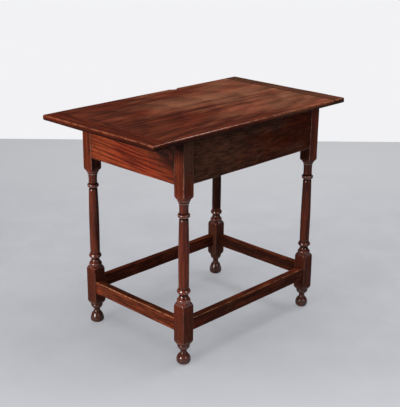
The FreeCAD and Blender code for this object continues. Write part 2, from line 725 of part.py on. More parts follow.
# ------------------------------------------------------------ checks and export
for thing in doc.Objects:
    if "Invalid" in thing.State or "Error" in thing.State:
        raise RuntimeError("%s failed: %s" % (thing.Label, thing.State))
for node in NODES:
    if node.Shape.isNull() or not node.Shape.isValid():
        raise RuntimeError("%s has no valid shape" % node.Label)

os.makedirs("parts", exist_ok=True)
for node in NODES:
    node.Shape.exportStep("parts/%s.step" % node.Label)
    print("%-24s %d solid(s) %10.1f mm3" % (node.Label, len(node.Shape.Solids), node.Shape.Volume))
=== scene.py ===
# %% [markdown]
# # Dressing a joined tavern table
# The imported model holds thirty plain solids at their true size. This lesson gives
# each of them the skin that three centuries leave on a table: legs turned by eye,
# flats that were planed and never sanded, arrises rubbed round by hands and shoes,
# and a brown-red polish that wore thin where it was touched and went dark where
# the duster never reached. The first cell loads the solids as a fixed frame, and
# keeps the size of their box.
# Some of that lighter rubbing is a painted highlight, and some of the dark, on faces that look in or
# lie under the top, is painted shade.

# %% The frame
import math

import bmesh
import bpy
from mathutils import Matrix, Vector, noise


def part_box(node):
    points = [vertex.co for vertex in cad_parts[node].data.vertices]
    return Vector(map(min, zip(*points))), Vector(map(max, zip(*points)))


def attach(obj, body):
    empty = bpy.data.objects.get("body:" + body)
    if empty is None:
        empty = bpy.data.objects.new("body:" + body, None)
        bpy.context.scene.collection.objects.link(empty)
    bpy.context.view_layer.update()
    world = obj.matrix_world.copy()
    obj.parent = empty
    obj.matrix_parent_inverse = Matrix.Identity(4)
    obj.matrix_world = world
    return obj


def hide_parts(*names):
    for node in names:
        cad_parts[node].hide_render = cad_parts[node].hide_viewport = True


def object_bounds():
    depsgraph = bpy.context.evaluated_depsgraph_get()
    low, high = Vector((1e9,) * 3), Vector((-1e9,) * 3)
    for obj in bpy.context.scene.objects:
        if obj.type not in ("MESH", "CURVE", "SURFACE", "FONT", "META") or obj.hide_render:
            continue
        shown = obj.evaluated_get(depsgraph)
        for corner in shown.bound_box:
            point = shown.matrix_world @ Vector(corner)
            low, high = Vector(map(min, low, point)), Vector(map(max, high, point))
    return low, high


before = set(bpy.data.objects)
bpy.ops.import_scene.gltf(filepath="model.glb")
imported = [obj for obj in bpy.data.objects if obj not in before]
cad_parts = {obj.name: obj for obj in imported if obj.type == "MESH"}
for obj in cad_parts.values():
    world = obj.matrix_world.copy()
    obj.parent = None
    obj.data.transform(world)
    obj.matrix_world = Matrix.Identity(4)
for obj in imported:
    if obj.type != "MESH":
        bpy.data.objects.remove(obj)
cad_low, cad_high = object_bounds()
MM = 0.001
print("solids in the frame:", len(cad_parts))

# %% [markdown]
# ## The camera
# The camera stands a little under three metres off the table's middle, in front of
# its near left corner, and looks down on it through a long lens. A long lens keeps
# the legs nearly parallel, which is why the frame of the table reads so square.
# Blender turns a direction into a rotation with `to_track_quat`; the last turn,
# about the camera's own axis, is the small tilt of a tripod levelled by eye.

# %% Camera
CAMERA_PLACE = Vector((-1.9533, -1.9044, 1.3358))
CAMERA_YAW = math.radians(45.757)       # from +Y towards +X
CAMERA_PITCH = math.radians(-19.220)
CAMERA_ROLL = math.radians(0.483)
CAMERA_LENS = 79.965                    # mm, on Blender's 36 mm sensor


def aimed(place, direction, pointer="-Z"):
    """Where a thing stands whose pointer looks in a direction."""
    return Matrix.Translation(place) @ direction.to_track_quat(pointer, "Y").to_matrix().to_4x4()


camera_data = bpy.data.cameras.new("camera")
camera_data.lens = CAMERA_LENS
camera = bpy.data.objects.new("camera", camera_data)
bpy.context.scene.collection.objects.link(camera)
looking = Vector((math.sin(CAMERA_YAW) * math.cos(CAMERA_PITCH),
                  math.cos(CAMERA_YAW) * math.cos(CAMERA_PITCH),
                  math.sin(CAMERA_PITCH)))
camera.matrix_world = aimed(CAMERA_PLACE, looking) @ Matrix.Rotation(CAMERA_ROLL, 4, "Z")
bpy.context.scene.camera = camera
bpy.context.scene.view_settings.view_transform = "Standard"
print("camera stands", round(CAMERA_PLACE.length, 2), "m from the floor's middle")

# %% [markdown]
# ## Helpers for node trees
# Every finish below is a small tree of nodes. Written out in full, each node takes
# four lines and the idea drowns, so these helpers make one node per call and give
# back its output socket. A value that is a socket is linked, and one that is a
# plain number is typed into the socket.

# %% Node helpers
def feed(tree, socket, value):
    """Link another socket into this one, or type a plain value into it."""
    if isinstance(value, bpy.types.NodeSocket):
        tree.links.new(value, socket)
    elif value is not None:
        socket.default_value = value


def calc(tree, operation, first, second=None):
    """A Math node on one or two values."""
    node = tree.nodes.new("ShaderNodeMath")
    node.operation = operation
    feed(tree, node.inputs[0], first)
    feed(tree, node.inputs[1], second)
    return node.outputs[0]


def plus(tree, first, second):
    return calc(tree, "ADD", first, second)


def less(tree, first, second):
    return calc(tree, "SUBTRACT", first, second)


def times(tree, first, second):
    return calc(tree, "MULTIPLY", first, second)


def vector_calc(tree, operation, first, second=None):
    """A Vector Math node; it gives back a vector and a value."""
    node = tree.nodes.new("ShaderNodeVectorMath")
    node.operation = operation
    feed(tree, node.inputs[0], first)
    feed(tree, node.inputs[1], second)
    return node.outputs


def stretch(tree, vector, scale):
    """The vector times a scale along each axis."""
    return vector_calc(tree, "MULTIPLY", vector, scale)[0]


def clouds(tree, vector, scale, detail=2.0, roughness=0.5):
    """Smooth noise about 0.5, in cells of 1/scale metres."""
    node = tree.nodes.new("ShaderNodeTexNoise")
    feed(tree, node.inputs["Vector"], vector)
    node.inputs["Scale"].default_value = scale
    node.inputs["Detail"].default_value = detail
    node.inputs["Roughness"].default_value = roughness
    return node.outputs[0]


def ramp(tree, value, low, high, at_low=0.0, at_high=1.0):
    """A smooth step: at_low below low, at_high above high."""
    node = tree.nodes.new("ShaderNodeMapRange")
    node.interpolation_type = "SMOOTHSTEP"
    for socket, number in zip(node.inputs, (value, low, high, at_low, at_high)):
        feed(tree, socket, number)
    return node.outputs[0]


def patchy(tree, vector, scale, detail, roughness, low, high, at_low=0.0, at_high=1.0):
    """Clouds with a soft border: at_low where they are thin, at_high where they are thick."""
    return ramp(tree, clouds(tree, vector, scale, detail, roughness), low, high, at_low, at_high)


def blend(tree, factor, first, second, mode="MIX"):
    """Two colours mixed by a factor. The node's colours are its sockets 6 and 7, and 2 comes out."""
    node = tree.nodes.new("ShaderNodeMix")
    node.data_type = "RGBA"
    node.blend_type = mode
    feed(tree, node.inputs[0], factor)
    feed(tree, node.inputs[6], first)
    feed(tree, node.inputs[7], second)
    return node.outputs[2]


def new_material(name):
    """A material and its tree."""
    material = bpy.data.materials.new(name)
    material.use_nodes = True
    return material, material.node_tree


def new_group(name, inputs, outputs):
    """An empty shader node group with named sockets."""
    tree = bpy.data.node_groups.new(name, "ShaderNodeTree")
    for label, kind, value in inputs:
        socket = tree.interface.new_socket(label, in_out="INPUT", socket_type="NodeSocket" + kind)
        if value is not None:
            socket.default_value = value
    for label, kind in outputs:
        tree.interface.new_socket(label, in_out="OUTPUT", socket_type="NodeSocket" + kind)
    return tree, tree.nodes.new("NodeGroupInput").outputs, tree.nodes.new("NodeGroupOutput").inputs


def use_group(tree, group, **values):
    """Place a group in a tree; spaces in socket names are written as underscores."""
    node = tree.nodes.new("ShaderNodeGroup")
    node.node_tree = group
    for label, value in values.items():
        feed(tree, node.inputs[label.replace("_", " ")], value)
    return node.outputs


def read(tree, attribute, kind="Fac"):
    """What a piece's own attribute holds at this point."""
    node = tree.nodes.new("ShaderNodeAttribute")
    node.attribute_name = attribute
    return node.outputs[kind]


def tint(red, green, blue):
    """A colour from 0 to 255 as a painter names it, in the linear values that nodes use."""
    return tuple((c / 255 / 12.92) if c <= 10 else ((c / 255 + 0.055) / 1.055) ** 2.4
                 for c in (red, green, blue)) + (1.0,)


# %% [markdown]
# ## The figure of the wood
# A board shows its growth rings as it is cut. Rings are cylinders about the heart
# of the tree, and a saw cut nearly along that heart draws them as long nested
# arches. The group below measures how far a point lies from a heart line that
# climbs slowly through the board, and counts rings by that distance. Fibres, long
# streaks and open pores are noise that is stretched far along the grain.
#
# The pattern doesn't read the object's own axes but an attribute called `grain`
# that each piece carries: metres along the grain, across it and through it, with
# an offset of its own. So one material serves a leg that stands up and a rail that
# lies down, and no two pieces show the same figure.

# %% Wood figure group
# how far each noise is drawn out (1/m): along the grain, across it and through it
SWAY = (2.2, 9, 9)
RAGGED = (8, 70, 70)
FIBRES = (7, 480, 480)
PORES = (90, 1500, 1500)
RAGGED_BY = 3.5 * MM                    # how far the rings stray
LATE_WOOD = (0.25, 0.85)                # the part of a year in which the ring darkens
YEAR_END = (0.88, 1.0)                  # and the part in which it turns pale again
STREAK_MIX = (0.68, 0.32)               # narrow streaks and broad ones
BROAD = 0.2                             # a broad streak's scale beside a narrow one's
PORE_SPREAD = (1, 1, 0.5, 0.60, 0.68)   # as `patchy` takes it


def wood_figure():
    tree, given, result = new_group(
        "wood_figure",
        (("Grain", "Vector", None), ("Ring width", "Float", 0.004), ("Climb", "Float", 0.05),
         ("Heart depth", "Float", 0.05), ("Waviness", "Float", 0.02), ("Fineness", "Float", 150.0),
         ("Run", "Float", 6.0)),
        (("Rings", "Float"), ("Fibres", "Float"), ("Streaks", "Float"), ("Pores", "Float")))
    grain = given["Grain"]
    parts = tree.nodes.new("ShaderNodeSeparateXYZ")
    feed(tree, parts.inputs[0], grain)
    along, across, through = parts.outputs
    drawn_out = tree.nodes.new("ShaderNodeCombineXYZ")
    for socket, part, scale in zip(drawn_out.inputs, parts.outputs, ("Run", "Fineness", "Fineness")):
        feed(tree, socket, times(tree, part, given[scale]))
    narrow = clouds(tree, drawn_out.outputs[0], 1, 4, 0.62)
    broad = clouds(tree, drawn_out.outputs[0], BROAD, 3)
    sway = less(tree, clouds(tree, stretch(tree, grain, SWAY), 1, 3), 0.5)
    across = plus(tree, across, times(tree, sway, given["Waviness"]))
    through = plus(tree, through, given["Heart depth"])
    through = plus(tree, through, times(tree, along, given["Climb"]))
    radius = calc(tree, "SQRT", plus(tree, times(tree, across, across), times(tree, through, through)))
    ragged = times(tree, clouds(tree, stretch(tree, grain, RAGGED), 1, 2), RAGGED_BY)
    radius = plus(tree, radius, ragged)
    year = calc(tree, "FRACT", calc(tree, "DIVIDE", radius, given["Ring width"]))
    feed(tree, result["Rings"], less(tree, ramp(tree, year, *LATE_WOOD), ramp(tree, year, *YEAR_END)))
    feed(tree, result["Fibres"], clouds(tree, stretch(tree, grain, FIBRES), 1, 3, 0.6))
    feed(tree, result["Streaks"], plus(tree, times(tree, narrow, STREAK_MIX[0]),
                                       times(tree, broad, STREAK_MIX[1])))
    feed(tree, result["Pores"], patchy(tree, stretch(tree, grain, PORES), *PORE_SPREAD))
    return tree


figure_group = wood_figure()
print("wood figure nodes:", len(figure_group.nodes))

# %% [markdown]
# ## The old finish
# Centuries of wax and handling lie over the figure, and with them some painted light
# and shade. Each piece brings four masks for them as attributes, which are worked
# out from its shape:
#
# - `wear_and_highlight` is 1 where hands and shoes rub, on arrises and on the crests
#   of turnings. The polish is thinner there, so the wood shows lighter, and smoother;
#   on the arrises the lighter colour is partly a painted highlight.
# - `grime_and_shade` is 1 in hollows and along joints, where wax and dust have gone
#   black, and it also carries painted shade: on faces that look in, under the top's
#   overhang, on the edge of the top, low on the blocks, on the right legs and on the
#   front stretcher.
# - `raw` is 1 inside and under the table, where nobody ever polished, and less
#   where the wood is dusty or bleached.
# - `burnish` is 1 on beads and rings, which the turner pressed bright on the lathe.
#
# Four more are noise in the object's own place: broad patches of darker polish, a
# redder stain, small smudges, and breaks that keep a worn arris from reading as a
# drawn line. The group puts out a colour, a roughness, how much hard wax lies on
# top, and a height; the shader stays outside.

# %% Old finish group
REDDER = (1.18, 0.78, 0.72, 1.0)        # what the redder stain multiplies a colour by

# as `patchy` takes them: scale, detail, roughness, the border, and the values beside it
PATCHES = (9.0, 5, 0.65, 0.38, 0.62)
STAINS = (7.0, 4, 0.6, 0.45, 0.62, 0.0, 0.6)
STAINS_DRAWN_OUT = (0.6, 1.0, 1.0)
SMUDGES = (60.0, 3, 0.6, 0.58, 0.75, 0.0, 0.35)
BREAKS = (55.0, 3, 0.6, 0.32, 0.60, 0.5, 1.0)
GRIME_AND_SHADE_SPREAD = (45.0, 2, 0.5, 0.25, 0.55, 0.8, 1.0)
DENTS = (38.0, 2, 0.5, 0.66, 0.80, 0.0, -0.6)
STREAK_EDGE = (0.42, 0.58)              # from a dark streak to a light one
# rubbed places turn to the paler worn colour, which is partly a painted highlight
PALING_RANGE = (0.3, 1.0)             # the wear at which the colour begins to change

# what each thing adds to the roughness, and to the relief
DULL = {"smudges": 0.25, "pores": 0.12, "gathered_and_shade": 0.25, "raw": 0.40, "rubbed_and_highlit": -0.10}
RELIEF = {"fibres": 0.25, "pores": -0.5, "rings": 0.15}
RUBBED_WAX = 0.6
BURNISHED_WAX = 0.8


def summed(tree, base, parts, amounts):
    """The base plus each part times its amount."""
    for label, amount in amounts.items():
        base = plus(tree, base, times(tree, parts[label], amount))
    return base


def old_finish():
    tree, given, result = new_group(
        "old_finish",
        (("Dark", "Color", None), ("Light", "Color", None), ("Worn", "Color", None),
         ("Dry", "Color", None), ("Dirt", "Color", None),
         ("Rings", "Float", 0.5), ("Fibres", "Float", 0.5), ("Streaks", "Float", 0.5),
         ("Pores", "Float", 0.0), ("Ring strength", "Float", 0.2), ("Streak strength", "Float", 0.8),
         ("Patchiness", "Float", 0.35), ("Polish", "Float", 0.42), ("Paleness", "Float", 0.6),
         ("Shine", "Float", 0.01)),
        (("Colour", "Color"), ("Roughness", "Float"), ("Wax", "Float"), ("Height", "Float")))
    place = tree.nodes.new("ShaderNodeTexCoord").outputs["Object"]
    wear_and_highlight, grime_and_shade, raw, burnish = (read(tree, mask) for mask in ("wear_and_highlight", "grime_and_shade", "raw", "burnish"))

    # light and dark wood, by streak, ring and fibre
    streak = times(tree, ramp(tree, given["Streaks"], *STREAK_EDGE), given["Streak strength"])
    lightness = plus(tree, times(tree, streak, 0.75), times(tree, given["Fibres"], 0.35))
    lightness = less(tree, lightness, times(tree, given["Rings"], given["Ring strength"]))
    colour = blend(tree, lightness, given["Dark"], given["Light"])

    # broad patches of darker polish, a redder stain, and small smudges
    patches = times(tree, patchy(tree, place, *PATCHES), given["Patchiness"])
    colour = blend(tree, patches, colour, given["Dark"])
    stained = patchy(tree, stretch(tree, place, STAINS_DRAWN_OUT), *STAINS)
    colour = blend(tree, stained, colour, REDDER, "MULTIPLY")
    smudges = patchy(tree, place, *SMUDGES)
    colour = blend(tree, smudges, colour, given["Dirt"])
    colour = blend(tree, times(tree, given["Pores"], 0.55), colour, given["Dirt"])

    # rubbed arrises, paler partly with a painted highlight; black wax in the hollows, and painted
    # shade; and wood that was never polished
    rubbed_and_highlit = times(tree, wear_and_highlight, patchy(tree, place, *BREAKS))
    bared_and_highlight = times(tree, ramp(tree, rubbed_and_highlit, *PALING_RANGE), given["Paleness"])
    colour = blend(tree, bared_and_highlight, colour, given["Worn"])
    gathered_and_shade = times(tree, grime_and_shade, patchy(tree, place, *GRIME_AND_SHADE_SPREAD))
    colour = blend(tree, gathered_and_shade, colour, given["Dirt"])
    colour = blend(tree, raw, colour, blend(tree, given["Fibres"], given["Dry"], given["Dark"]))
    feed(tree, result["Colour"], colour)

    # wax shines where it is rubbed and is dull in dirt, in painted shade and on raw wood
    parts = {"smudges": smudges, "pores": given["Pores"], "gathered_and_shade": gathered_and_shade, "raw": raw,
             "rubbed_and_highlit": rubbed_and_highlit, "fibres": given["Fibres"], "rings": given["Rings"]}
    feed(tree, result["Roughness"], summed(tree, given["Polish"], parts, DULL))

    # hard wax is bright where it is rubbed or burnished, and gone from dirt, painted shade and raw
    # wood
    gloss = plus(tree, given["Shine"], times(tree, rubbed_and_highlit, RUBBED_WAX))
    gloss = calc(tree, "MINIMUM", 1.0, plus(tree, gloss, times(tree, burnish, BURNISHED_WAX)))
    dulled = calc(tree, "MAXIMUM", calc(tree, "MAXIMUM", gathered_and_shade, raw), smudges)
    feed(tree, result["Wax"], times(tree, gloss, less(tree, 1.0, dulled)))

    # open grain, rings and dents
    feed(tree, result["Height"], summed(tree, patchy(tree, place, *DENTS), parts, RELIEF))
    return tree


finish_group = old_finish()
print("old finish nodes:", len(finish_group.nodes))

# %% [markdown]
# ## One material for each kind of board
# The same two groups make every finish on the table; only their values differ. The
# top is the most used; it pales towards its right end and along its middle, partly
# as faded wood and partly as a painted sheen of the bright wall. The legs are a
# redder close-grained wood, the rails show bolder figure, and the stretchers are
# dark with floor dirt and with painted shade. The groups' own values suit most of
# the table, so each wood names only what differs.
# Colours are written as a painter would mix them, from 0 to 255. Gloss that is the
# same all over, the specular level, is typed into the shader's own socket.

# %% Wood materials
DRY = tint(92, 68, 55)
# the dark colour of dirt, also used for painted shade
DIRT_AND_SHADE = tint(24, 13, 10)
WAX_ROUGHNESS = 0.17
BUMP_STRENGTH = 0.25
BUMP_DEPTH = 0.4 * MM
# the colours shift to another pair along the table; on the top and the cleats that paler end is partly
# fading and partly a painted sheen of the bright wall
SOONER = 0.8                            # how much sooner the wood fades along the middle
BORDER_DRIFT = 1.2                      # m that the border of the fading may wander
BORDER_STRETCH = (3, 16, 16)


def shifting_towards(tree, start, finish):
    """A mask that rises along the table, sooner along its middle, with a streaky border."""
    place = tree.nodes.new("ShaderNodeTexCoord").outputs["Object"]
    parts = tree.nodes.new("ShaderNodeSeparateXYZ")
    feed(tree, parts.inputs[0], place)
    off_middle = times(tree, calc(tree, "ABSOLUTE", parts.outputs[1]), SOONER)
    drift = times(tree, clouds(tree, stretch(tree, place, BORDER_STRETCH), 1, 5, 0.6), BORDER_DRIFT)
    along = plus(tree, less(tree, parts.outputs[0], off_middle), drift)
    return ramp(tree, along, start + BORDER_DRIFT / 2, finish + BORDER_DRIFT / 2)


def wood(name, dark, light, worn_and_highlight, specular, figure, finish, other_end=None, coat_ior=1.5):
    """An old polished wood; other_end is its (dark, light) at the other end, and where that starts; on
    the top it is partly a painted sheen.
    """
    material, tree = new_material(name)
    if other_end:
        mask = shifting_towards(tree, *other_end[2:])
        dark = blend(tree, mask, dark, other_end[0])
        light = blend(tree, mask, light, other_end[1])
    drawn = use_group(tree, figure_group, Grain=read(tree, "grain", "Vector"), **figure)
    laid = use_group(tree, finish_group, Dark=dark, Light=light, Worn=worn_and_highlight, Dry=DRY, Dirt=DIRT_AND_SHADE,
                     **{label: drawn[label] for label in ("Rings", "Fibres", "Streaks", "Pores")},
                     **finish)
    relief = tree.nodes.new("ShaderNodeBump")
    relief.inputs["Strength"].default_value = BUMP_STRENGTH
    relief.inputs["Distance"].default_value = BUMP_DEPTH
    feed(tree, relief.inputs["Height"], laid["Height"])
    shader = tree.nodes["Principled BSDF"]
    for label, value in (("Base Color", laid["Colour"]), ("Roughness", laid["Roughness"]),
                         ("Coat Weight", laid["Wax"]), ("Coat Roughness", WAX_ROUGHNESS),
                         ("Coat IOR", coat_ior), ("Specular IOR Level", specular),
                         ("Normal", relief.outputs[0])):
        feed(tree, shader.inputs[label], value)
    return material


# painted sheen: towards the right and the middle the top pales, partly faded and partly as the wall's
# painted reflection; its worn colour is partly a painted highlight
top_wood = wood(
    "top_wood", tint(48, 19, 12), tint(114, 53, 33), tint(156, 96, 72), specular=0.04,
    figure=dict(Ring_width=0.007, Heart_depth=0.03, Fineness=210),
    finish=dict(Streak_strength=0.66, Patchiness=0.32, Shine=0.02),
    other_end=(tint(76, 41, 28), tint(145, 93, 67), -0.24, 0.04))
# painted sheen: the right cleat is paler, partly faded and partly as the wall's painted reflection
cleat_wood = wood(
    "cleat_wood", tint(52, 19, 11), tint(107, 46, 28), tint(150, 88, 62), specular=0.02,
    figure=dict(Ring_width=0.006, Fineness=170, Run=8), finish=dict(Patchiness=0.4),
    other_end=(tint(58, 33, 23), tint(99, 61, 44), -0.20, 0.04))
# the worn colour is partly a painted highlight on the block arrises and the fine ring
leg_wood = wood(
    "leg_wood", tint(62, 24, 14), tint(136, 62, 36), tint(156, 112, 96), specular=0.03,
    figure=dict(Heart_depth=0.06, Fineness=190, Run=9),
    finish=dict(Streak_strength=0.55, Polish=0.34, Paleness=0.8, Shine=0.03), coat_ior=1.8)
end_rail_wood = wood(
    "end_rail_wood", tint(76, 28, 15), tint(154, 68, 37), tint(150, 80, 48), specular=0.06,
    figure=dict(Ring_width=0.009, Heart_depth=0.08, Climb=0.03),
    finish=dict(Ring_strength=0.35, Streak_strength=1.1, Patchiness=0.25, Polish=0.36, Shine=0.04))
rail_wood = wood(
    "rail_wood", tint(50, 30, 21), tint(122, 76, 55), tint(130, 84, 58), specular=0.02,
    figure=dict(Ring_width=0.007, Heart_depth=0.0, Climb=0.08, Waviness=0.09, Fineness=105, Run=24),
    finish=dict(Ring_strength=0.25, Streak_strength=0.55, Patchiness=0.36),
    other_end=(tint(45, 16, 5), tint(104, 43, 17), -0.25, 0.05))
# the worn colour is partly a painted highlight along the upper arris
stretcher_wood = wood(
    "stretcher_wood", tint(60, 25, 15), tint(158, 78, 47), tint(200, 134, 92), specular=0.03,
    figure=dict(Fineness=160, Run=10),
    finish=dict(Ring_strength=0.25, Streak_strength=0.9, Patchiness=0.5, Paleness=0.9, Shine=0.02))
peg_wood = wood(
    "peg_wood", tint(46, 19, 12), tint(96, 46, 28), tint(140, 86, 56), specular=0.06,
    figure=dict(Ring_width=0.003, Fineness=300, Run=20),
    finish=dict(Ring_strength=0.3, Patchiness=0.2, Polish=0.45, Shine=0.03))
print("materials:", [m.name for m in bpy.data.materials if m.name.endswith("_wood")])

# %% [markdown]
# ## Tools for working the pieces
# The pieces start as a bmesh cube or a spun outline and are cut, bevelled and worn
# with bmesh operators, in the order a joiner would work. `slice_up` cuts a piece
# into short lengths, so that there is something to bend. `weather` then moves the
# skin in and out by a fraction of a millimetre, with smooth noise that is the same
# on every run. `paint` asks up to four small functions how worn, grimy, raw or
# burnished each point is, and stores the answers with the grain for the materials
# to read. The worn mask also carries painted highlights, and the grimy one painted
# shade.

# %% Bench tools
SAME = 0.01 * MM                        # coordinates that are closer than this are the same
SHARP = math.radians(42)                # edges that turn by more stay sharp to the eye


def same(value, place):
    return abs(value - place) < SAME


def clamped(value):
    return min(1.0, max(0.0, value))


def end_gap(co, low, high, axis):
    """How far a point lies from the nearer end of a piece."""
    return min(co[axis] - low[axis], high[axis] - co[axis])


def block(low, high):
    """A box between two corners."""
    bm = bmesh.new()
    size = high - low
    placing = Matrix.Translation((low + high) / 2) @ Matrix.Diagonal((*size, 1.0))
    bmesh.ops.create_cube(bm, size=1.0, matrix=placing)
    return bm


def edges_where(bm, test):
    """The edges whose middle passes the test."""
    return [e for e in bm.edges if test((e.verts[0].co + e.verts[1].co) / 2)]


def round_over(bm, edges, radius, segments):
    """Round some edges to a radius."""
    bmesh.ops.bevel(bm, geom=edges, offset=radius, offset_type="OFFSET", segments=segments,
                    profile=0.5, affect="EDGES", material=-1, clamp_overlap=True)


def slice_at(bm, axis, place):
    """Cut all faces with a plane square to an axis."""
    normal = Vector((0, 0, 0))
    normal[axis] = 1
    bmesh.ops.bisect_plane(bm, geom=bm.verts[:] + bm.edges[:] + bm.faces[:],
                           plane_co=normal * place, plane_no=normal, dist=1e-6)


def slice_up(bm, axis, low, high, step):
    """Cut into equal lengths of about step between two places on an axis."""
    count = max(1, round((high - low) / step))
    for number in range(1, count):
        slice_at(bm, axis, low + (high - low) * number / count)


def slice_near(bm, axis, places, gaps):
    """Cut on both sides of each place, so that wear along an edge stays beside it."""
    for place in places:
        for gap in gaps:
            slice_at(bm, axis, place - gap)
            slice_at(bm, axis, place + gap)


def weather(bm, amount, size, seed, keep):
    """Move the skin in and out by up to amount times keep, in hollows about size across."""
    bm.normal_update()
    shift = Vector((seed * 7.13, seed * 3.71, seed * 5.39))
    moves = [v.normal * (amount * keep(v.co) * noise.noise(v.co / size + shift)) for v in bm.verts]
    for v, move in zip(bm.verts, moves):
        v.co += move


def nothing(co, normal):
    return 0.0


def paint(bm, along, offset, wear_and_highlight=nothing, grime_and_shade=nothing, raw=nothing, burnish=nothing, tilt=0.0):
    """Store the grain and the four masks. The grain follows the axis along, or tilts off it."""
    bm.normal_update()
    grain_layer = bm.verts.layers.float_vector.new("grain")
    layers = [(bm.verts.layers.float.new(name), mask)
              for name, mask in (("wear_and_highlight", wear_and_highlight), ("grime_and_shade", grime_and_shade), ("raw", raw), ("burnish", burnish))]
    order = ((0, 1, 2), (1, 2, 0), (2, 0, 1))[along]
    for v in bm.verts:
        grain = Vector([v.co[axis] for axis in order])
        grain.y -= tilt * grain.x
        v[grain_layer] = grain + Vector(offset)
        for layer, mask in layers:
            v[layer] = clamped(mask(v.co, v.normal))


def new_object(bm, name, material):
    """Turn a bmesh into an object of the scene."""
    mesh = bpy.data.meshes.new(name)
    bm.to_mesh(mesh)
    bm.free()
    mesh.materials.append(material)
    made = bpy.data.objects.new(name, mesh)
    bpy.context.scene.collection.objects.link(made)
    return made


def hand_over(bm, name, node, material):
    """Turn the bmesh into a piece that stands for a solid of the frame."""
    piece = new_object(bm, name, material)
    piece.data.shade_smooth()
    piece.data.set_sharp_from_angle(angle=SHARP)
    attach(piece, "root")
    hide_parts(node)
    print("%-26s %6d faces" % (name, len(piece.data.polygons)))


# %% [markdown]
# ## Turned legs
# A leg begins as a square length. The turner leaves two blocks square for the
# joints and turns the rest: below the upper block a shoulder and a neck with a
# ring, a long shaft that swells towards the floor, a pointed bead, a cove and a
# rounded cap over the lower block, and a ball foot on a slim neck. One front foot is
# full and one is small, and the back two have been worn flat. No two legs have
# their turnings at quite the same heights.
#
# The outline is a short list of points, with arcs between them. `spin` turns it
# into a round leg, and then the four flats are planed, as on the real one, only in
# the other order: each point that stands outside the square is drawn in to it. The
# scalloped line where a round shoulder meets a flat face comes out by itself.
#
# The columns of points are first gathered towards the four arrises, because that
# is where the shape needs them.

# %% Leg outline
HALF_DIAGONAL = 29.2                    # of the square, in mm, with a little to plane off
UPPER_HALF = 19.5 * MM
LOWER_HALF = 20.5 * MM                  # the lower blocks were left a shade fuller
SPIN_STEPS = 96
GATHERING = 0.62                        # 0 spreads the columns evenly

# (radius, height, bulge) in mm from the floor; the bulge is that of the next stretch
SHAFT = (
    (0, 688, 0), (HALF_DIAGONAL, 688, 0), (HALF_DIAGONAL, 525.5, 0.20),
    (20.5, 516.0, 0), (19.9, 513.5, 0.12), (15.2, 506.3, 0), (16.0, 505.6, 0), (16.0, 503.4, 0),
    (14.4, 502.2, -0.04), (13.7, 473.5, 0), (14.4, 472.0, 0.45), (17.9, 466.2, 0.45),
    (14.0, 460.5, -0.35), (13.7, 453.5, 0.012), (15.2, 244.5, -0.20), (16.0, 241.5, 0.15),
    (20.3, 232.0, 0.12), (12.2, 222.0, -0.12), (19.6, 208.5, 0.22), (20.3, 203, 0.1),
    (19.7, 198.5, 0), (21.0, 197.5, 0.26), (HALF_DIAGONAL, 185.5, 0), (HALF_DIAGONAL, 80.5, 0.15),
)
COLLAR = ((20.5, 70, 0), (17.0, 68.4, 0), (17.6, 67, 0.3), (18.4, 59.5, 0.25), (9.8, 48.5, -0.05),
          (9.4, 43.5, -0.20))
FULL_FOOT = ((13.6, 33.5, 0.22), (21.4, 16.0, 0.40), (9.5, 0.6, 0.1), (8.5, 0, 0), (0, 0, 0))
SMALL_FOOT = ((13.2, 33.0, 0.22), (20.2, 16.5, 0.38), (10.5, 0.6, 0.1), (9.5, 0, 0), (0, 0, 0))
WORN_FOOT = ((15.2, 31.5, 0.09), (21.8, 10.5, 0.28), (17.5, 0.8, 0.1), (16.5, 0, 0), (0, 0, 0))

# the turner marked each leg out by eye: (height, how far the turning there is off it), in mm
OFF_THE_MARK = {
    "leg_front_left": ((0, 0), (48, -1), (62, -2), (80, -3), (187, -1), (200, 2), (232, 2.7),
                       (466, 1.5), (504, 0.5), (526, 3), (560, 0)),
    "leg_front_right": ((0, 0), (48, 0), (62, -3), (80, -5.3), (187, -4.5), (232, -6.3),
                        (466, -7.8), (504, 0), (526, -3.8), (560, 0)),
    "leg_back_left": ((0, 0), (48, -2.5), (62, -4), (80, -6), (187, -4), (200, -2.7),
                      (232, -3.4), (466, -2.3), (526, -2), (560, 0)),
    "leg_back_right": ((0, 0), (16, 3), (48, 4.8), (62, 4.8), (80, 3), (187, 3), (232, 2.6),
                       (300, 0)),
}
FINE = 1.3 * MM                         # the length of a step on a curve
COARSE = 7 * MM                         # and on a stretch that is longer than LONG
LONG = 40 * MM


def bowed(start, finish, bulge, steps):
    """Points from start towards finish on an arc that rises bulge halves of its chord."""
    chord = finish - start
    side = Vector((-chord.y, chord.x)).normalized()
    half_turn = 2 * math.atan(bulge)
    points = []
    for number in range(steps):
        if bulge == 0:
            points.append(start.lerp(finish, number / steps))
            continue
        radius = chord.length / 2 / math.sin(half_turn)
        turn = half_turn * (2 * number / steps - 1)
        along = radius * math.sin(turn)
        rise = radius * (math.cos(turn) - math.cos(half_turn))
        points.append((start + finish) / 2 + chord.normalized() * along + side * rise)
    return points


def outline_points(outline):
    """The outline as a chain of points, fine on curves and coarse on long straights."""
    points = []
    for (radius, height, bulge), (next_radius, next_height, _) in zip(outline, outline[1:]):
        start = Vector((radius, height)) * MM
        finish = Vector((next_radius, next_height)) * MM
        length = (finish - start).length
        step = COARSE if length > LONG else FINE
        points += bowed(start, finish, bulge, max(1, math.ceil(length / step)))
    return points + [Vector(outline[-1][:2]) * MM]


print("points on a leg's outline:", len(outline_points(SHAFT + COLLAR + FULL_FOOT)))

# %% [markdown]
# `square_reach` says how far a square with rounded arrises reaches in a direction.
# The arris isn't the same all the way: it is barely eased under the top and rubbed
# round where shins and shoes pass, so its radius is a function of height.

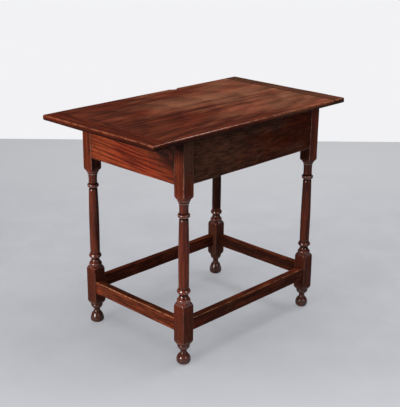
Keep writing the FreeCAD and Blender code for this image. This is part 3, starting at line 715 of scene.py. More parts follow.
# %% Turning and planing
def square_reach(turn, half, arris):
    """Distance from the axis to the side of a square with rounded arrises."""
    folded = abs((turn + math.pi / 4) % (math.pi / 2) - math.pi / 4)
    if half * math.tan(folded) <= half - arris:
        return half / math.cos(folded)
    core = half - arris
    middle = core * (math.cos(folded) + math.sin(folded))
    return middle + math.sqrt(max(0.0, middle ** 2 - 2 * core ** 2 + arris ** 2))


def turn_leg(outline):
    """Spin the outline round the leg's axis, with its poles closed."""
    bm = bmesh.new()
    chain = [bm.verts.new((p.x, 0, p.y)) for p in outline_points(outline)]
    edges = [bm.edges.new(pair) for pair in zip(chain, chain[1:])]
    bmesh.ops.spin(bm, geom=chain + edges, cent=(0, 0, 0), axis=(0, 0, 1),
                   angle=2 * math.pi, steps=SPIN_STEPS, use_merge=True)
    bmesh.ops.remove_doubles(bm, verts=bm.verts[:], dist=1e-6)
    bmesh.ops.recalc_face_normals(bm, faces=bm.faces[:])
    return bm


def half_at(height):
    """Half the width of the leg's square at a height."""
    return UPPER_HALF if height > UPPER_BLOCK / 2 else LOWER_HALF


def plane_flats(bm, arris_at):
    """Gather the columns at the arrises and draw the corners in to the square."""
    for v in bm.verts:
        reach = math.hypot(v.co.x, v.co.y)
        turn = math.atan2(v.co.y, v.co.x)
        turn += GATHERING / 4 * math.sin(4 * turn)
        reach = min(reach, square_reach(turn, half_at(v.co.z), arris_at(v.co.z, turn)))
        v.co.x = reach * math.cos(turn)
        v.co.y = reach * math.sin(turn)


# %% [markdown]
# Wear on a turning follows its outline. Where the radius stands above the average
# of its neighbours a little way up and down, the form is a crest and gets rubbed;
# where it lies below, it is a hollow and fills with dark wax.
#
# The blocks have a history of their own. Their arrises are rubbed lighter, partly
# with a painted highlight, and so is a fine ring where the shoulder meets the neck.
# Faces that look in under the table, and the sides of the shafts that look in, are
# darkened with painted shade; so are the near leg's left face under the overhang,
# the outer faces of the lower blocks, and the turnings of the right legs, the one
# at the back most of all. The near leg's front has bleached with the rail beside
# it, and the wood gets drier towards the floor. After the masks are painted,
# `drift_at` moves each turning to the height that its turner gave it.

# %% Legs
NEIGHBOUR = 3.0 * MM                    # how far up and down a crest is compared
CREST_HEIGHT = 1.5 * MM                 # a crest this proud is fully worn
LOWER_BLOCK = (80.5 * MM, 191.5 * MM)
UPPER_BLOCK = 525.5 * MM
SHAFT_ENDS = (245 * MM, 452 * MM)
# painted highlight: the fine ring below is painted pale, and hard wax lies on it
SCORED_RING = (502 * MM, 506 * MM)      # a fine bright line where the shoulder meets the neck
FOOT_TOP = 62 * MM
RAIL_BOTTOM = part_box("rail_front")[0].z

EASE = (1.4 * MM, 1.0 * MM)             # radius of the arris, on the lower and the upper block
EASE_DRIFT = 0.5 * MM
# the pale rubbed arris of a block is partly a painted highlight
ARRIS_WEAR_AND_HIGHLIGHT = (0.95, 1.12)               # on the lower and the upper block
ARRIS_WEAR_WIDTH = 2.6 * MM
TURNED_WEAR = 0.2                       # on all that is turned
CREST_WEAR = 0.6                        # and more on its crests
NECK_BURNISH = 0.12
FOOT_BURNISH = 0.9                      # of everything turned below the shaft

HOLLOW_DIRT = 1.2                       # dark wax in the hollows of the turnings
# painted shade on the sides of shafts and the faces of blocks that look in under the table, less low
# down
SHAFT_SHADE = 0.45                       # dust on the side of a shaft that looks in
INNER_SHADE = 0.7                        # and on the inner faces of a block
LOWER_INNER_SHADE = 0.4                  # which is worn off again near the floor
FOOT_DIRT = 0.22
# painted shade on the outer faces of the lower blocks
LOWER_BLOCK_SHADE = 0.2                        # on the outer faces of the lower blocks
# painted shade on the turnings of the right legs, darkest on the one at the back
RIGHT_LEG_SHADE = 0.32                        # the right legs keep more dark wax
FAR_LEG_SHADE = 0.85                          # and the one at the back is nearly black with it
# painted shade on the near leg's left face under the overhang, deepening between two heights
NEAR_LEG_SHADE = 0.95
NEAR_LEG_SHADE_BAND = (615 * MM, 665 * MM)       # the smoke deepens from the first to the second height

BLEACHED = 0.9
BLEACHED_BAND = (550.5 * MM, 610.5 * MM)
FLOOR_DRYNESS = 0.6
FAR_DRYNESS = 1.3                       # the leg at the back is never wiped
DRY_TOP = 230 * MM
FOOT_DRYNESS = 0.3                      # but every foot is rubbed by mop and shoe

LEG_RIPPLE = (0.35 * MM, 70 * MM)       # how deep and how wide
SOLE = 3 * MM                           # which stays flat


def radius_at(points, height):
    """The outline's radius at a height, but no more than the flats leave of it."""
    for upper, lower in zip(points, points[1:]):
        if lower.y <= height <= upper.y and upper.y > lower.y:
            return min(UPPER_HALF, upper.lerp(lower, (upper.y - height) / (upper.y - lower.y)).x)
    return points[-2].x


def find_crests(points):
    """How proud each level of the outline is: 1 on a full crest, below 0 in a hollow."""
    crests = {}
    for level in sorted({round(p.y, 5) for p in points}):
        around = (radius_at(points, level - NEIGHBOUR) + radius_at(points, level + NEIGHBOUR)) / 2
        crests[level] = (radius_at(points, level) - around) / CREST_HEIGHT
    return crests


def drift_at(marks, height):
    """What a list of marks says at a height, by straight lines between them."""
    for (below, at_below), (above, at_above) in zip(marks, marks[1:]):
        if below * MM <= height <= above * MM:
            share = (height / MM - below) / (above - below)
            return (at_below + (at_above - at_below) * share) * MM
    return 0.0


def rising(height, band):
    """0 below a band of heights, 1 above it."""
    return clamped((height - band[0]) / (band[1] - band[0]))


def is_block(height):
    return height > UPPER_BLOCK - MM or LOWER_BLOCK[0] - MM < height < LOWER_BLOCK[1] + MM


def is_scored(height):
    return SCORED_RING[0] < height < SCORED_RING[1]


def leg_masks(axis, side_x, side_y, crests):
    """Wear and painted highlight, grime and painted shade, raw and burnish for a leg on one side of
    the table.
    """
    is_far = side_x > 0 and side_y > 0

    def crest(co):
        return crests.get(round(co.z, 5), 0.0)

    def looks_in(normal):
        return normal.x * side_x < -0.8 or normal.y * side_y < -0.8

    # the pale block arrises and the fine ring are partly a painted highlight
    def wear_and_highlight(co, normal):
        if is_block(co.z):
            across = co - axis
            off_arris = half_at(co.z) - min(abs(across.x), abs(across.y))
            return ARRIS_WEAR_AND_HIGHLIGHT[co.z > UPPER_BLOCK / 2] - off_arris / ARRIS_WEAR_WIDTH
        return 1.0 if is_scored(co.z) else TURNED_WEAR + CREST_WEAR * crest(co)

    # dark wax in the hollows and dirt on the feet; painted shade on faces that look in, on the lower
    # blocks, on the right legs and under the overhang
    def grime_and_shade(co, normal):
        if is_block(co.z):
            if looks_in(normal):
                return INNER_SHADE if co.z > LOWER_BLOCK[1] else LOWER_INNER_SHADE
            if co.z < LOWER_BLOCK[1]:
                return LOWER_BLOCK_SHADE
            return NEAR_LEG_SHADE * rising(co.z, NEAR_LEG_SHADE_BAND) if normal.x < -0.5 and side_y < 0 else 0.0
        base = 0.0
        if co.z < FOOT_TOP:
            base = FOOT_DIRT
        elif side_x > 0:
            base = FAR_LEG_SHADE if is_far and co.z >= SHAFT_ENDS[0] else RIGHT_LEG_SHADE
        inward = -(normal.x * side_x + normal.y * side_y) / math.sqrt(2)
        return max(-HOLLOW_DIRT * crest(co), base, SHAFT_SHADE * inward)

    def raw(co, normal):
        if looks_in(normal) and co.z > RAIL_BOTTOM + 2 * MM:
            return 1.0
        if side_x < 0 and side_y < 0 and normal.y < -0.5 and co.z > UPPER_BLOCK:
            return BLEACHED * rising(co.z, BLEACHED_BAND)
        if co.z < FOOT_TOP:
            return FOOT_DRYNESS
        return (FAR_DRYNESS if is_far else FLOOR_DRYNESS) * clamped(1 - co.z / DRY_TOP)

    def burnish(co, normal):
        if is_block(co.z) or SHAFT_ENDS[0] < co.z < SHAFT_ENDS[1]:
            return 0.0
        base = NECK_BURNISH if co.z > SHAFT_ENDS[1] else FOOT_BURNISH
        return 1.0 if is_scored(co.z) else base + crest(co)

    return wear_and_highlight, grime_and_shade, raw, burnish


def leg(node, side_x, side_y, foot, seed):
    outline = SHAFT + COLLAR + foot
    low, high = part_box(node)
    axis = Vector(((low.x + high.x) / 2, (low.y + high.y) / 2, 0))

    def arris_at(height, turn):
        drift = noise.noise(Vector((height * 22, seed * 5.1 + round(turn / (math.pi / 2)) * 3.3, 0)))
        return EASE[height > UPPER_BLOCK] + EASE_DRIFT * drift

    bm = turn_leg(outline)
    plane_flats(bm, arris_at)
    bmesh.ops.translate(bm, verts=bm.verts[:], vec=axis)
    masks = leg_masks(axis, side_x, side_y, find_crests(outline_points(outline)))
    paint(bm, 2, (seed * 1.7, seed * 0.31, seed * 0.23), *masks)
    for v in bm.verts:
        v.co.z += drift_at(OFF_THE_MARK[node], v.co.z)
    weather(bm, *LEG_RIPPLE, seed, keep=lambda co: clamped(co.z / SOLE))
    hand_over(bm, node + "_turned", node, leg_wood)


leg("leg_front_left", -1, -1, FULL_FOOT, 1)
leg("leg_front_right", 1, -1, SMALL_FOOT, 2)
leg("leg_back_left", -1, 1, WORN_FOOT, 3)
leg("leg_back_right", 1, 1, WORN_FOOT, 4)

# %% [markdown]
# ## Rails
# The four rails are deep, thin boards, planed on the outside and left rough from
# the saw inside, where only the maker ever looked. Each is a box with its lower
# outer arris rubbed round, cut into short lengths and let go slightly hollow. The
# tenons stay with the solids, because a leg hides them; what shows is the shoulder,
# which meets the leg in a fine dark line. A narrow band of painted shade lies under
# the top on every rail. The left rail hangs a little lower than the others, and
# its painted shade deepens towards the near leg.

# %% Rails
TOP_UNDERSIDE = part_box("top_board_front")[0].z
CLEAR = (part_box("leg_front_right")[0].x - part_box("leg_front_left")[1].x,
         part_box("leg_back_left")[0].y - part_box("leg_front_left")[1].y)
RAIL_ARRIS = 1.6 * MM
RAIL_STEP = 9 * MM
SHOULDER = 1.5 * MM                     # the last cut before a joint
LOW_CUTS = (3 * MM, 5 * MM)             # cuts beside the rubbed arris
RAIL_WEAR_WIDTH = 4 * MM
RAIL_JOINT_DIRT = 2.5 * MM
# painted shade: a band under the top on every rail, and on the left rail a deeper one towards the near
# leg
OVERHANG = (0.6, 12 * MM)               # how dark the band under the top is, and how deep
CORNER = (0.95, 75 * MM)                # how dark the smoke is, and how soon it fades out
CORNER_DROP = (38 * MM, 115 * MM)       # how low it hangs, and how much lower near the leg
CORNER_REACH = 380 * MM                 # along the rail
RAIL_RIPPLE = (0.45 * MM, 90 * MM)
RAIL_HELD = 25 * MM                     # how far its joints keep a rail straight


def under_overhang(co):
    """Painted shade in a narrow band under the top."""
    return OVERHANG[0] * clamped(1 - (TOP_UNDERSIDE - co.z) / OVERHANG[1])


def near_corner_shade(co):
    """On the left rail the band of painted shade deepens towards the near leg."""
    towards = clamped(0.5 - co.y / CORNER_REACH)
    line = TOP_UNDERSIDE - CORNER_DROP[0] - CORNER_DROP[1] * towards ** 1.6
    return CORNER[0] * clamped((co.z - line) / CORNER[1])


def bar(node, end_axis, outer_side):
    """What shows of a rail or stretcher: its corners, and where its two faces lie."""
    low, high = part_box(node)
    middle = (low[end_axis] + high[end_axis]) / 2
    low[end_axis] = middle - CLEAR[end_axis] / 2
    high[end_axis] = middle + CLEAR[end_axis] / 2
    faces = (low[1 - end_axis], high[1 - end_axis])
    return low, high, faces[outer_side > 0], faces[outer_side < 0]


def arrises(bm, axis, places):
    """The long edges of a bar at some pairs of a place on the axis and a height."""
    return edges_where(bm, lambda co: any(same(co[axis], place) and same(co.z, height)
                                          for place, height in places))


def cut_lengths(bm, end_axis, low, high, step):
    """Cut a bar along its length, and once more close to each shoulder."""
    slice_up(bm, end_axis, low[end_axis], high[end_axis], step)
    slice_near(bm, end_axis, (low[end_axis], high[end_axis]), (SHOULDER,))


def held_at_ends(end_axis, low, high, reach):
    return lambda co: clamped(end_gap(co, low, high, end_axis) / reach)


def rail(side, end_axis, outer_side, material, seed, tilt=0.0, shade_band=under_overhang, deeper=0.0):
    node = "rail_" + side
    low, high, face, _ = bar(node, end_axis, outer_side)
    low.z -= deeper
    outer_axis = 1 - end_axis
    bm = block(low, high)
    round_over(bm, arrises(bm, outer_axis, ((face, low.z),)), RAIL_ARRIS, 4)
    cut_lengths(bm, end_axis, low, high, RAIL_STEP)
    slice_up(bm, 2, low.z, high.z, RAIL_STEP)
    slice_near(bm, 2, (low.z,), LOW_CUTS)

    def wear_and_highlight(co, normal):
        return 1.0 - math.hypot(co[outer_axis] - face, co.z - low.z) / RAIL_WEAR_WIDTH

    # dark joints at the ends, and the band of painted shade under the top
    def grime_and_shade(co, normal):
        return max(1.0 - end_gap(co, low, high, end_axis) / RAIL_JOINT_DIRT, shade_band(co))

    def raw(co, normal):
        return 1.0 if normal[outer_axis] * outer_side < -0.5 else 0.0

    middle = (low.z + high.z) / 2
    offset = [(seed * 2.3, -face, -middle), (seed * 2.3, -middle, -face)][end_axis]
    paint(bm, end_axis, offset, wear_and_highlight, grime_and_shade, raw, tilt=tilt)
    weather(bm, *RAIL_RIPPLE, seed, held_at_ends(end_axis, low, high, RAIL_HELD))
    hand_over(bm, node + "_board", node, material)


print("between the legs: %.1f by %.1f mm" % (CLEAR[0] / MM, CLEAR[1] / MM))
rail("front", 0, -1, rail_wood, 11)
rail("back", 0, 1, rail_wood, 12)
rail("left", 1, -1, end_rail_wood, 13, tilt=0.055, shade_band=near_corner_shade, deeper=2.5 * MM)
rail("right", 1, 1, end_rail_wood, 14)

# %% [markdown]
# ## Stretchers
# The box stretcher near the floor is where feet rest. Its upper outer arris has
# been rubbed into a broad soft round that dips in the middle of each length, and
# its lighter colour there is partly a painted highlight. The faces that look in,
# and the front stretcher's outer faces, are darkened with painted shade. The four
# mortises weren't marked from one gauge line, so each stretcher sits a few
# millimetres lower than its solid, and no two alike.

# %% Stretchers
FOOT_ARRIS = 3.2 * MM                   # where feet rest
OTHER_ARRIS = 1.2 * MM
DIP = (1.3 * MM, 14 * MM)               # how deep the arris dips, and how far in it shows
STRETCHER_STEPS = (8 * MM, 7 * MM)      # along it and up
STRETCHER_CUTS = (2.5 * MM, 5 * MM)     # beside its arrises
LOWER_WEAR_WIDTH = 4 * MM
INNER_WEAR_WIDTH = 3 * MM
STRETCHER_JOINT_DIRT = 3 * MM
UPPER_DIRT = 0.4
STRETCHER_RIPPLE = (0.5 * MM, 60 * MM)
STRETCHER_HELD = 20 * MM


def stretcher(side, end_axis, outer_side, seed, sunk, outer_shade=0.0, inward_shade=0.55):
    node = "stretcher_" + side
    low, high, face, inner = bar(node, end_axis, outer_side)
    low.z -= sunk
    high.z -= sunk
    outer_axis = 1 - end_axis
    length = high[end_axis] - low[end_axis]
    bm = block(low, high)
    round_over(bm, arrises(bm, outer_axis, ((face, high.z),)), FOOT_ARRIS, 5)
    others = ((face, low.z), (inner, low.z), (inner, high.z))
    round_over(bm, arrises(bm, outer_axis, others), OTHER_ARRIS, 2)
    cut_lengths(bm, end_axis, low, high, STRETCHER_STEPS[0])
    slice_up(bm, 2, low.z, high.z, STRETCHER_STEPS[1])
    slice_near(bm, 2, (low.z, high.z), STRETCHER_CUTS)
    slice_near(bm, outer_axis, (face,), STRETCHER_CUTS[1:])

    def gap(co, place, height):
        return math.hypot(co[outer_axis] - place, co.z - height)

    # the upper outer arris is paler, partly with a painted highlight
    def wear_and_highlight(co, normal):
        return max(1.3 - gap(co, face, high.z) / FOOT_ARRIS,
                   0.5 - gap(co, face, low.z) / LOWER_WEAR_WIDTH,
                   0.5 - gap(co, inner, high.z) / INNER_WEAR_WIDTH)

    # dirt at the joints and on the top face; painted shade on the inner faces and, on the front
    # stretcher, on the outer ones
    def grime_and_shade(co, normal):
        base = UPPER_DIRT if normal.z > 0.9 else outer_shade
        if normal[outer_axis] * outer_side < -0.8:
            base = inward_shade
        return max(1.0 - end_gap(co, low, high, end_axis) / STRETCHER_JOINT_DIRT, base)

    paint(bm, end_axis, (seed * 2.9, seed * 0.17, seed * 0.11), wear_and_highlight, grime_and_shade)
    for v in bm.verts:
        centred = 1 - (2 * (v.co[end_axis] - low[end_axis]) / length - 1) ** 2
        v.co.z -= DIP[0] * centred * clamped(1 - gap(v.co, face, high.z) / DIP[1])
    weather(bm, *STRETCHER_RIPPLE, seed, held_at_ends(end_axis, low, high, STRETCHER_HELD))
    hand_over(bm, node + "_bar", node, stretcher_wood)


# painted shade on the front stretcher's outer faces, and more on the right one's inner face
stretcher("front", 0, -1, 21, 5.0 * MM, outer_shade=0.6)
stretcher("back", 0, 1, 22, 2.0 * MM)
stretcher("left", 1, -1, 23, 6.0 * MM)
stretcher("right", 1, 1, 24, 2.2 * MM, inward_shade=0.75)

# %% [markdown]
# ## The top
# Two boards lie edge to edge, and a cleat crosses each end to keep them flat. The
# joints are bevelled by a hair, so that they hold a line of dark wax. Outer edges
# are rounded over by hands; the rounded arris is lighter, partly with a painted
# highlight, and the edge face below it is darkened with painted shade. The near
# corner has sunk a little, and a splinter is gone from the back edge; it left a
# sharp shoulder, where nothing is rubbed yet.

# %% Boards and cleats
TOP_LOW = Vector((cad_low.x, cad_low.y, TOP_UNDERSIDE))
TOP_HIGH = Vector((cad_high.x, cad_high.y, cad_high.z))
CLEAT = 54 * MM
LEFT_JOINT = TOP_LOW.x + CLEAT
RIGHT_JOINT = TOP_HIGH.x - CLEAT
JOINT_Y = TOP_LOW.y + 206 * MM
JOINT_EASE = 0.5 * MM
ARRIS = 5.5 * MM
ARRIS_DIP = 0.41 * ARRIS                # how far rounding takes the arris back from the corner
# the rubbed line along the arris is partly a painted highlight
ARRIS_WIDTH = 3 * MM                    # of the rubbed line along it
LOWER_ARRIS = 3.5 * MM
CLEAT_CORNER = 5 * MM                   # seen from above
TOP_STEP = 9 * MM
EDGE_CUTS = (1.4 * MM, 7 * MM)
CHIP = (94 * MM, 131 * MM)              # along the back edge; it ends in a sharp shoulder
CHIP_REACH = 15 * MM                    # inwards from the edge
CHIP_DEPTH = 5.0 * MM
CHIP_CURVE = (0.7, 1.2)                 # how it deepens along the edge, and towards the edge
UNRUBBED = CHIP[1] + 3 * MM             # past the chip's shoulder
# painted shade on the edge face below the arris
EDGE_SHADE = (0.75, 4 * MM)              # grime below the arris, and how soon it is there
JOINT_DIRT = 2.2 * MM                   # how wide the dark line at a joint is
JOINT_WAX = (0.5, 1.1)                  # how dark, at the left cleat and at the other joints
UNDER_EDGE = 4 * MM                     # how far in under the edge the polish goes
SUNK_CORNER = Vector((TOP_LOW.x, TOP_LOW.y, TOP_HIGH.z))
SUNK_BY = 1.2 * MM
SUNK_REACH = 110 * MM
CORNER_WEAR = (0.7, 22 * MM)            # more wear at the near corner, and how far it goes
TOP_RIPPLE = (0.5 * MM, 110 * MM)
TOP_HELD = 20 * MM


def top_masks(joints):
    """Masks for a piece of the top; joints are (axis, place) of its glued edges."""
    def edge_gap(co):
        return min(end_gap(co, TOP_LOW, TOP_HIGH, 0), end_gap(co, TOP_LOW, TOP_HIGH, 1))

    # the rubbed arris is paler, partly with a painted highlight
    def wear_and_highlight(co, normal):
        if CHIP[0] < co.x < UNRUBBED and TOP_HIGH.y - co.y < CHIP_REACH:
            return 0.0
        gap = math.hypot(edge_gap(co), TOP_HIGH.z - co.z)
        corner = clamped(1 - (co.xy - SUNK_CORNER.xy).length / CORNER_WEAR[1])
        return 1.0 - (gap - ARRIS_DIP) / ARRIS_WIDTH + CORNER_WEAR[0] * corner

    # dark wax in the joints, and painted shade on the edge face below the arris
    def grime_and_shade(co, normal):
        gap = min(abs(co[axis] - place) for axis, place in joints)
        in_joint = JOINT_WAX[co.x > LEFT_JOINT + 20 * MM] - gap / JOINT_DIRT
        return max(in_joint, EDGE_SHADE[0] * clamped((TOP_HIGH.z - ARRIS - co.z) / EDGE_SHADE[1]))

    def raw(co, normal):
        return 1.0 if normal.z < -0.6 and edge_gap(co) > UNDER_EDGE else 0.0

    return wear_and_highlight, grime_and_shade, raw


def sink_and_chip(bm):
    """Let the near corner down and break the splinter out of the back edge."""
    for v in bm.verts:
        away = (v.co.xy - SUNK_CORNER.xy).length
        v.co.z -= SUNK_BY * clamped(1 - away / SUNK_REACH) ** 2
        along = (v.co.x - CHIP[0]) / (CHIP[1] - CHIP[0])
        inward = (TOP_HIGH.y - v.co.y) / CHIP_REACH
        if 0 < along < 1 and inward < 1:
            ragged = 1.0 + 0.5 * noise.noise(Vector((v.co.x * 160, v.co.y * 200, 3.3)))
            loss = CHIP_DEPTH * along ** CHIP_CURVE[0] * (1 - inward) ** CHIP_CURVE[1] * ragged
            v.co.y -= loss
            v.co.z -= loss * clamped((v.co.z - TOP_LOW.z) / (TOP_HIGH.z - TOP_LOW.z))


def top_piece(node, start, finish, is_joint, joints, grain_axis, offset, seed, material):
    """A board or cleat between two corners in plan, eased at its joints, rounded elsewhere."""
    low = Vector((*start, TOP_LOW.z))
    high = Vector((*finish, TOP_HIGH.z))
    bm = block(low, high)

    def ease(height, joined, radius, segments):
        round_over(bm, edges_where(bm, lambda co: same(co.z, height) and is_joint(co) == joined),
                   radius, segments)

    if node.startswith("top_cleat"):
        ease((low.z + high.z) / 2, False, CLEAT_CORNER, 5)
    ease(high.z, False, ARRIS, 6)
    ease(low.z, False, LOWER_ARRIS, 4)
    ease(high.z, True, JOINT_EASE, 1)
    for axis in (0, 1):
        slice_up(bm, axis, low[axis], high[axis], TOP_STEP)
    for axis in (0, 1):
        slice_near(bm, axis, (low[axis], high[axis]), EDGE_CUTS)
    if low.x < CHIP[0] < high.x and high.y > TOP_HIGH.y - MM:
        slice_up(bm, 0, CHIP[0] - 2 * MM, CHIP[1] + 4 * MM, 2 * MM)
        slice_up(bm, 1, TOP_HIGH.y - CHIP_REACH - MM, TOP_HIGH.y - ARRIS, 3 * MM)
    paint(bm, grain_axis, offset, *top_masks(joints))
    sink_and_chip(bm)
    weather(bm, *TOP_RIPPLE, seed,
            lambda co: clamped(min(abs(co[axis] - place) for axis, place in joints) / TOP_HELD))
    hand_over(bm, node + "_plank", node, material)


def meets_cleat(co):
    return min(co.x - LEFT_JOINT, RIGHT_JOINT - co.x) < MM


board_joints = ((0, LEFT_JOINT), (0, RIGHT_JOINT), (1, JOINT_Y))
top_piece("top_board_front", (LEFT_JOINT, TOP_LOW.y), (RIGHT_JOINT, JOINT_Y),
          lambda co: co.y > TOP_LOW.y + MM or meets_cleat(co),
          board_joints, 0, (3.1, 0.04, 0.2), 31, top_wood)
top_piece("top_board_back", (LEFT_JOINT, JOINT_Y), (RIGHT_JOINT, TOP_HIGH.y),
          lambda co: co.y < TOP_HIGH.y - MM or meets_cleat(co),
          board_joints, 0, (7.4, -0.05, 0.5), 32, top_wood)
top_piece("top_cleat_left", TOP_LOW.xy, (LEFT_JOINT, TOP_HIGH.y),
          lambda co: co.x > LEFT_JOINT - MM,
          ((0, LEFT_JOINT),), 1, (1.3, 0.3, 0.1), 33, cleat_wood)
top_piece("top_cleat_right", (RIGHT_JOINT, TOP_LOW.y), TOP_HIGH.xy,
          lambda co: co.x < RIGHT_JOINT + MM,
          ((0, RIGHT_JOINT),), 1, (5.3, 0.7, 0.3), 34, cleat_wood)

# %% [markdown]
# ## Pegs
# Every joint is drawn up by riven pegs. Their heads were cut off nearly flush and
# now stand a hair proud, because wood shrinks across its grain and not along it.
# A peg is whittled by eye and never quite round: a cone of few sides, with its head
# rounded over.

# %% Pegs
PEG_SIDES = 10
PEG_TAPER = (0.8, 0.985)                # the point and the head, of the bore's width
PEG_ROUND = 0.9 * MM
TABLE_MIDDLE = (0, 0, 0.4)              # heads point away from it


def solids_of(mesh):
    """The boxes of a mesh's separate solids, from left to right."""
    source = bmesh.new()
    source.from_mesh(mesh)
    bmesh.ops.remove_doubles(source, verts=source.verts[:], dist=1e-6)
    left = set(source.verts)
    boxes = []
    while left:
        island = {left.pop()}
        unseen = list(island)
        while unseen:
            around = {e.other_vert(v) for v in (unseen.pop(),) for e in v.link_edges} & left
            left -= around
            island |= around
            unseen += around
        boxes.append((Vector([min(v.co[i] for v in island) for i in range(3)]),
                      Vector([max(v.co[i] for v in island) for i in range(3)])))
    source.free()
    return sorted(boxes, key=lambda pair: tuple(pair[0]))


def pegs(node, grain_axis, seed):
    """Whittle one peg for each solid of a node of pegs, in the solid's own place."""
    bm = bmesh.new()
    for low, high in solids_of(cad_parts[node].data):
        size = high - low
        middle = (low + high) / 2
        axis = max(range(3), key=lambda i: size[i])
        across = min(size[(axis + 1) % 3], size[(axis + 2) % 3])
        pointing = Vector((0, 0, 0))
        pointing[axis] = 1 if middle[axis] > TABLE_MIDDLE[axis] else -1
        made = bmesh.ops.create_cone(bm, cap_ends=True, segments=PEG_SIDES, depth=size[axis],
                                     radius1=across / 2 * PEG_TAPER[0],
                                     radius2=across / 2 * PEG_TAPER[1],
                                     matrix=aimed(middle, pointing, "Z"))
        head = middle + pointing * size[axis] / 2
        rim = dict.fromkeys(e for v in made["verts"] for e in v.link_edges
                            if all(same(w.co[axis], head[axis]) for w in e.verts))
        round_over(bm, list(rim), PEG_ROUND, 2)
    paint(bm, grain_axis, (seed * 1.1, seed * 0.3, 0.0), wear_and_highlight=lambda co, normal: 0.1,
          grime_and_shade=lambda co, normal: 0.2)
    hand_over(bm, node + "_whittled", node, peg_wood)


for number, side in enumerate(("front", "right", "back", "left")):
    bored_along = (1, 0)[number % 2]
    pegs("rail_pegs_" + side, bored_along, 41 + number)
    pegs("stretcher_pegs_" + side, bored_along, 51 + number)
    pegs("top_pegs_" + side, 2, 61 + number)
pegs("cleat_pegs_left", 2, 71)
pegs("cleat_pegs_right", 2, 72)

# %% [markdown]
# ## Floor and backdrop
# The table stands on a pale floor before a pale wall, and the world beyond has the
# wall's colour. The wall and that colour are shown to the lens alone, and so not to
# the polish: nothing on the table is metal or glass, and with a white room mirrored
# in it the dark wood would go milky. The wall is clear from behind and the floor
# from below, so that the table can be looked at from every side, and far out the
# floor fades into the wall's colour. Half of what the lens sees of the floor is
# laid on unshaded, which keeps the table's shadow as soft as in a bright room.
# The floor's own colour carries painted light as well: it is lighter behind the table and near the
# lens.

# %% Stage
WALL_BEHIND = 2.18                      # from the table's middle, away from the camera
WALL_HEIGHT = 4
STAGE_HALF = 7.0
WALL_COLOUR = tint(242, 242, 244)
FLOOR_COLOURS = (tint(176, 177, 181), tint(189, 190, 194))
FLOOR_MOTTLE = (5.0, 6, 0.65, 0.3, 0.7)  # as `patchy` takes it
FLOOR_ROUGHNESS = 0.7
# painted light: the floor is lighter behind the table, where less light reaches, and near the lens,
# where the lamps fall off
FLOOR_ENDS = (((0.6, WALL_BEHIND), tint(214, 214, 215)),    # (from, to) behind the table
              ((-0.1, -0.9), tint(222, 225, 231)))          # and in front of it
UNSHADED = 0.5                          # how much of the floor the lens sees unshaded
UNSHADED_COLOUR = tint(190, 192, 198)
HAZE = (2.5, 4.5)                       # where the floor begins to fade, and where it is gone
ahead = Vector((math.sin(CAMERA_YAW), math.cos(CAMERA_YAW), 0))
right = Vector((math.cos(CAMERA_YAW), -math.sin(CAMERA_YAW), 0))


def stage_plane(name, corners, material):
    bm = bmesh.new()
    bm.faces.new([bm.verts.new(corner) for corner in corners])
    new_object(bm, name, material)


def mixed(tree, factor, first, second):
    """Two shaders mixed by a factor."""
    node = tree.nodes.new("ShaderNodeMixShader")
    for socket, value in zip(node.inputs, (factor, first, second)):
        feed(tree, socket, value)
    return node.outputs[0]


def glow(tree, colour):
    node = tree.nodes.new("ShaderNodeEmission")
    node.inputs["Color"].default_value = colour
    return node.outputs[0]


def camera_ray(tree):
    return tree.nodes.new("ShaderNodeLightPath").outputs["Is Camera Ray"]


def clear_from_behind(tree, surface):
    """Show a surface from its front only, and end the material with it."""
    clear = tree.nodes.new("ShaderNodeBsdfTransparent").outputs[0]
    behind = tree.nodes.new("ShaderNodeNewGeometry").outputs["Backfacing"]
    feed(tree, tree.nodes["Material Output"].inputs[0], mixed(tree, behind, surface, clear))


def floor_material():
    material, tree = new_material("floor")
    place = tree.nodes.new("ShaderNodeTexCoord").outputs["Object"]
    depth = vector_calc(tree, "DOT_PRODUCT", place, ahead)["Value"]
    far = vector_calc(tree, "LENGTH", place)["Value"]
    colour = blend(tree, patchy(tree, place, *FLOOR_MOTTLE), *FLOOR_COLOURS)
    for (start, finish), towards in FLOOR_ENDS:
        colour = blend(tree, ramp(tree, depth, start, finish), colour, towards)
    shader = tree.nodes["Principled BSDF"]
    feed(tree, shader.inputs["Base Color"], colour)
    shader.inputs["Roughness"].default_value = FLOOR_ROUGHNESS
    shader.inputs["Specular IOR Level"].default_value = 0.0

    from_camera = camera_ray(tree)
    lit = mixed(tree, times(tree, from_camera, UNSHADED), shader.outputs[0],
                glow(tree, UNSHADED_COLOUR))
    hazy = times(tree, ramp(tree, far, *HAZE), from_camera)
    clear_from_behind(tree, mixed(tree, hazy, lit, glow(tree, WALL_COLOUR)))
    return material


def wall_material():
    """Pale to the lens and from the front only; light passes through it."""
    material, tree = new_material("wall")
    clear = tree.nodes.new("ShaderNodeBsdfTransparent").outputs[0]
    clear_from_behind(tree, mixed(tree, camera_ray(tree), clear, glow(tree, WALL_COLOUR)))
    return material


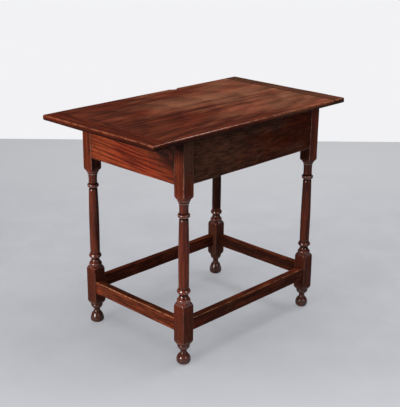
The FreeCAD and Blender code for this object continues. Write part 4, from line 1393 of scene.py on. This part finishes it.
back_left = ahead * WALL_BEHIND - right * STAGE_HALF
back_right = ahead * WALL_BEHIND + right * STAGE_HALF
forward = ahead * 2 * STAGE_HALF
up = Vector((0, 0, WALL_HEIGHT))
stage_plane("floor", [back_left, back_left - forward, back_right - forward, back_right],
            floor_material())
stage_plane("wall", [back_left, back_right, back_right + up, back_left + up], wall_material())

# %% [markdown]
# ## Light
# A tall soft window stands at the table's left end and makes its end faces glow. A
# wide soft panel overhead lights the top and puts the shadow on the floor; it is
# kept out of the polish, which it would fill with grey. A small panel at the upper
# right draws the thin highlight along the front arris. A window in front is only
# mirrored, and gives the turnings their second glint. The world fills the rest.
# Together they light the top at a level at which a colour looks as written.

# %% Lights
WHITE = (1.0, 1.0, 1.0)
AMBIENT = 0.07


def softbox(name, place, aim, size, watts, colour=WHITE, spread=180, mirrored=True, lighting=True):
    """An area lamp that the lens can't see; it may light, be mirrored in polish, or both."""
    data = bpy.data.lights.new(name, "AREA")
    data.shape = "RECTANGLE"
    data.size, data.size_y = size
    data.energy = watts
    data.color = colour
    data.spread = math.radians(spread)
    lamp = bpy.data.objects.new(name, data)
    lamp.visible_camera = False
    lamp.visible_glossy = mirrored
    lamp.visible_diffuse = lighting
    bpy.context.scene.collection.objects.link(lamp)
    lamp.matrix_world = aimed(place, Vector(aim) - Vector(place))


softbox("window", (-3.3, 0.0, 1.35), (0, 0.05, 0.70), (1.2, 1.6), 8.8, (1.0, 0.98, 0.95), spread=44)
softbox("overhead", (0, 0.0, 3.6), (0, 0.0, 0), (5.2, 5.2), 177, mirrored=False)
softbox("front_window", (-0.35, -3.4, 1.5), (-0.3, -0.2, 0.3), (0.8, 1.2), 15, lighting=False)
softbox("sky_panel", (1.7, -0.5, 2.8), (0, -0.1, 0.5), (0.7, 0.5), 16, (0.96, 0.97, 1.0))

world = bpy.data.worlds.new("world")
world.use_nodes = True
bpy.context.scene.world = world
sky = world.node_tree
ambient = sky.nodes["Background"]
ambient.inputs["Color"].default_value = (*WHITE, 1)
ambient.inputs["Strength"].default_value = AMBIENT
backdrop = sky.nodes.new("ShaderNodeBackground")
backdrop.inputs["Color"].default_value = WALL_COLOUR
feed(sky, sky.nodes["World Output"].inputs[0],
     mixed(sky, camera_ray(sky), ambient.outputs[0], backdrop.outputs[0]))
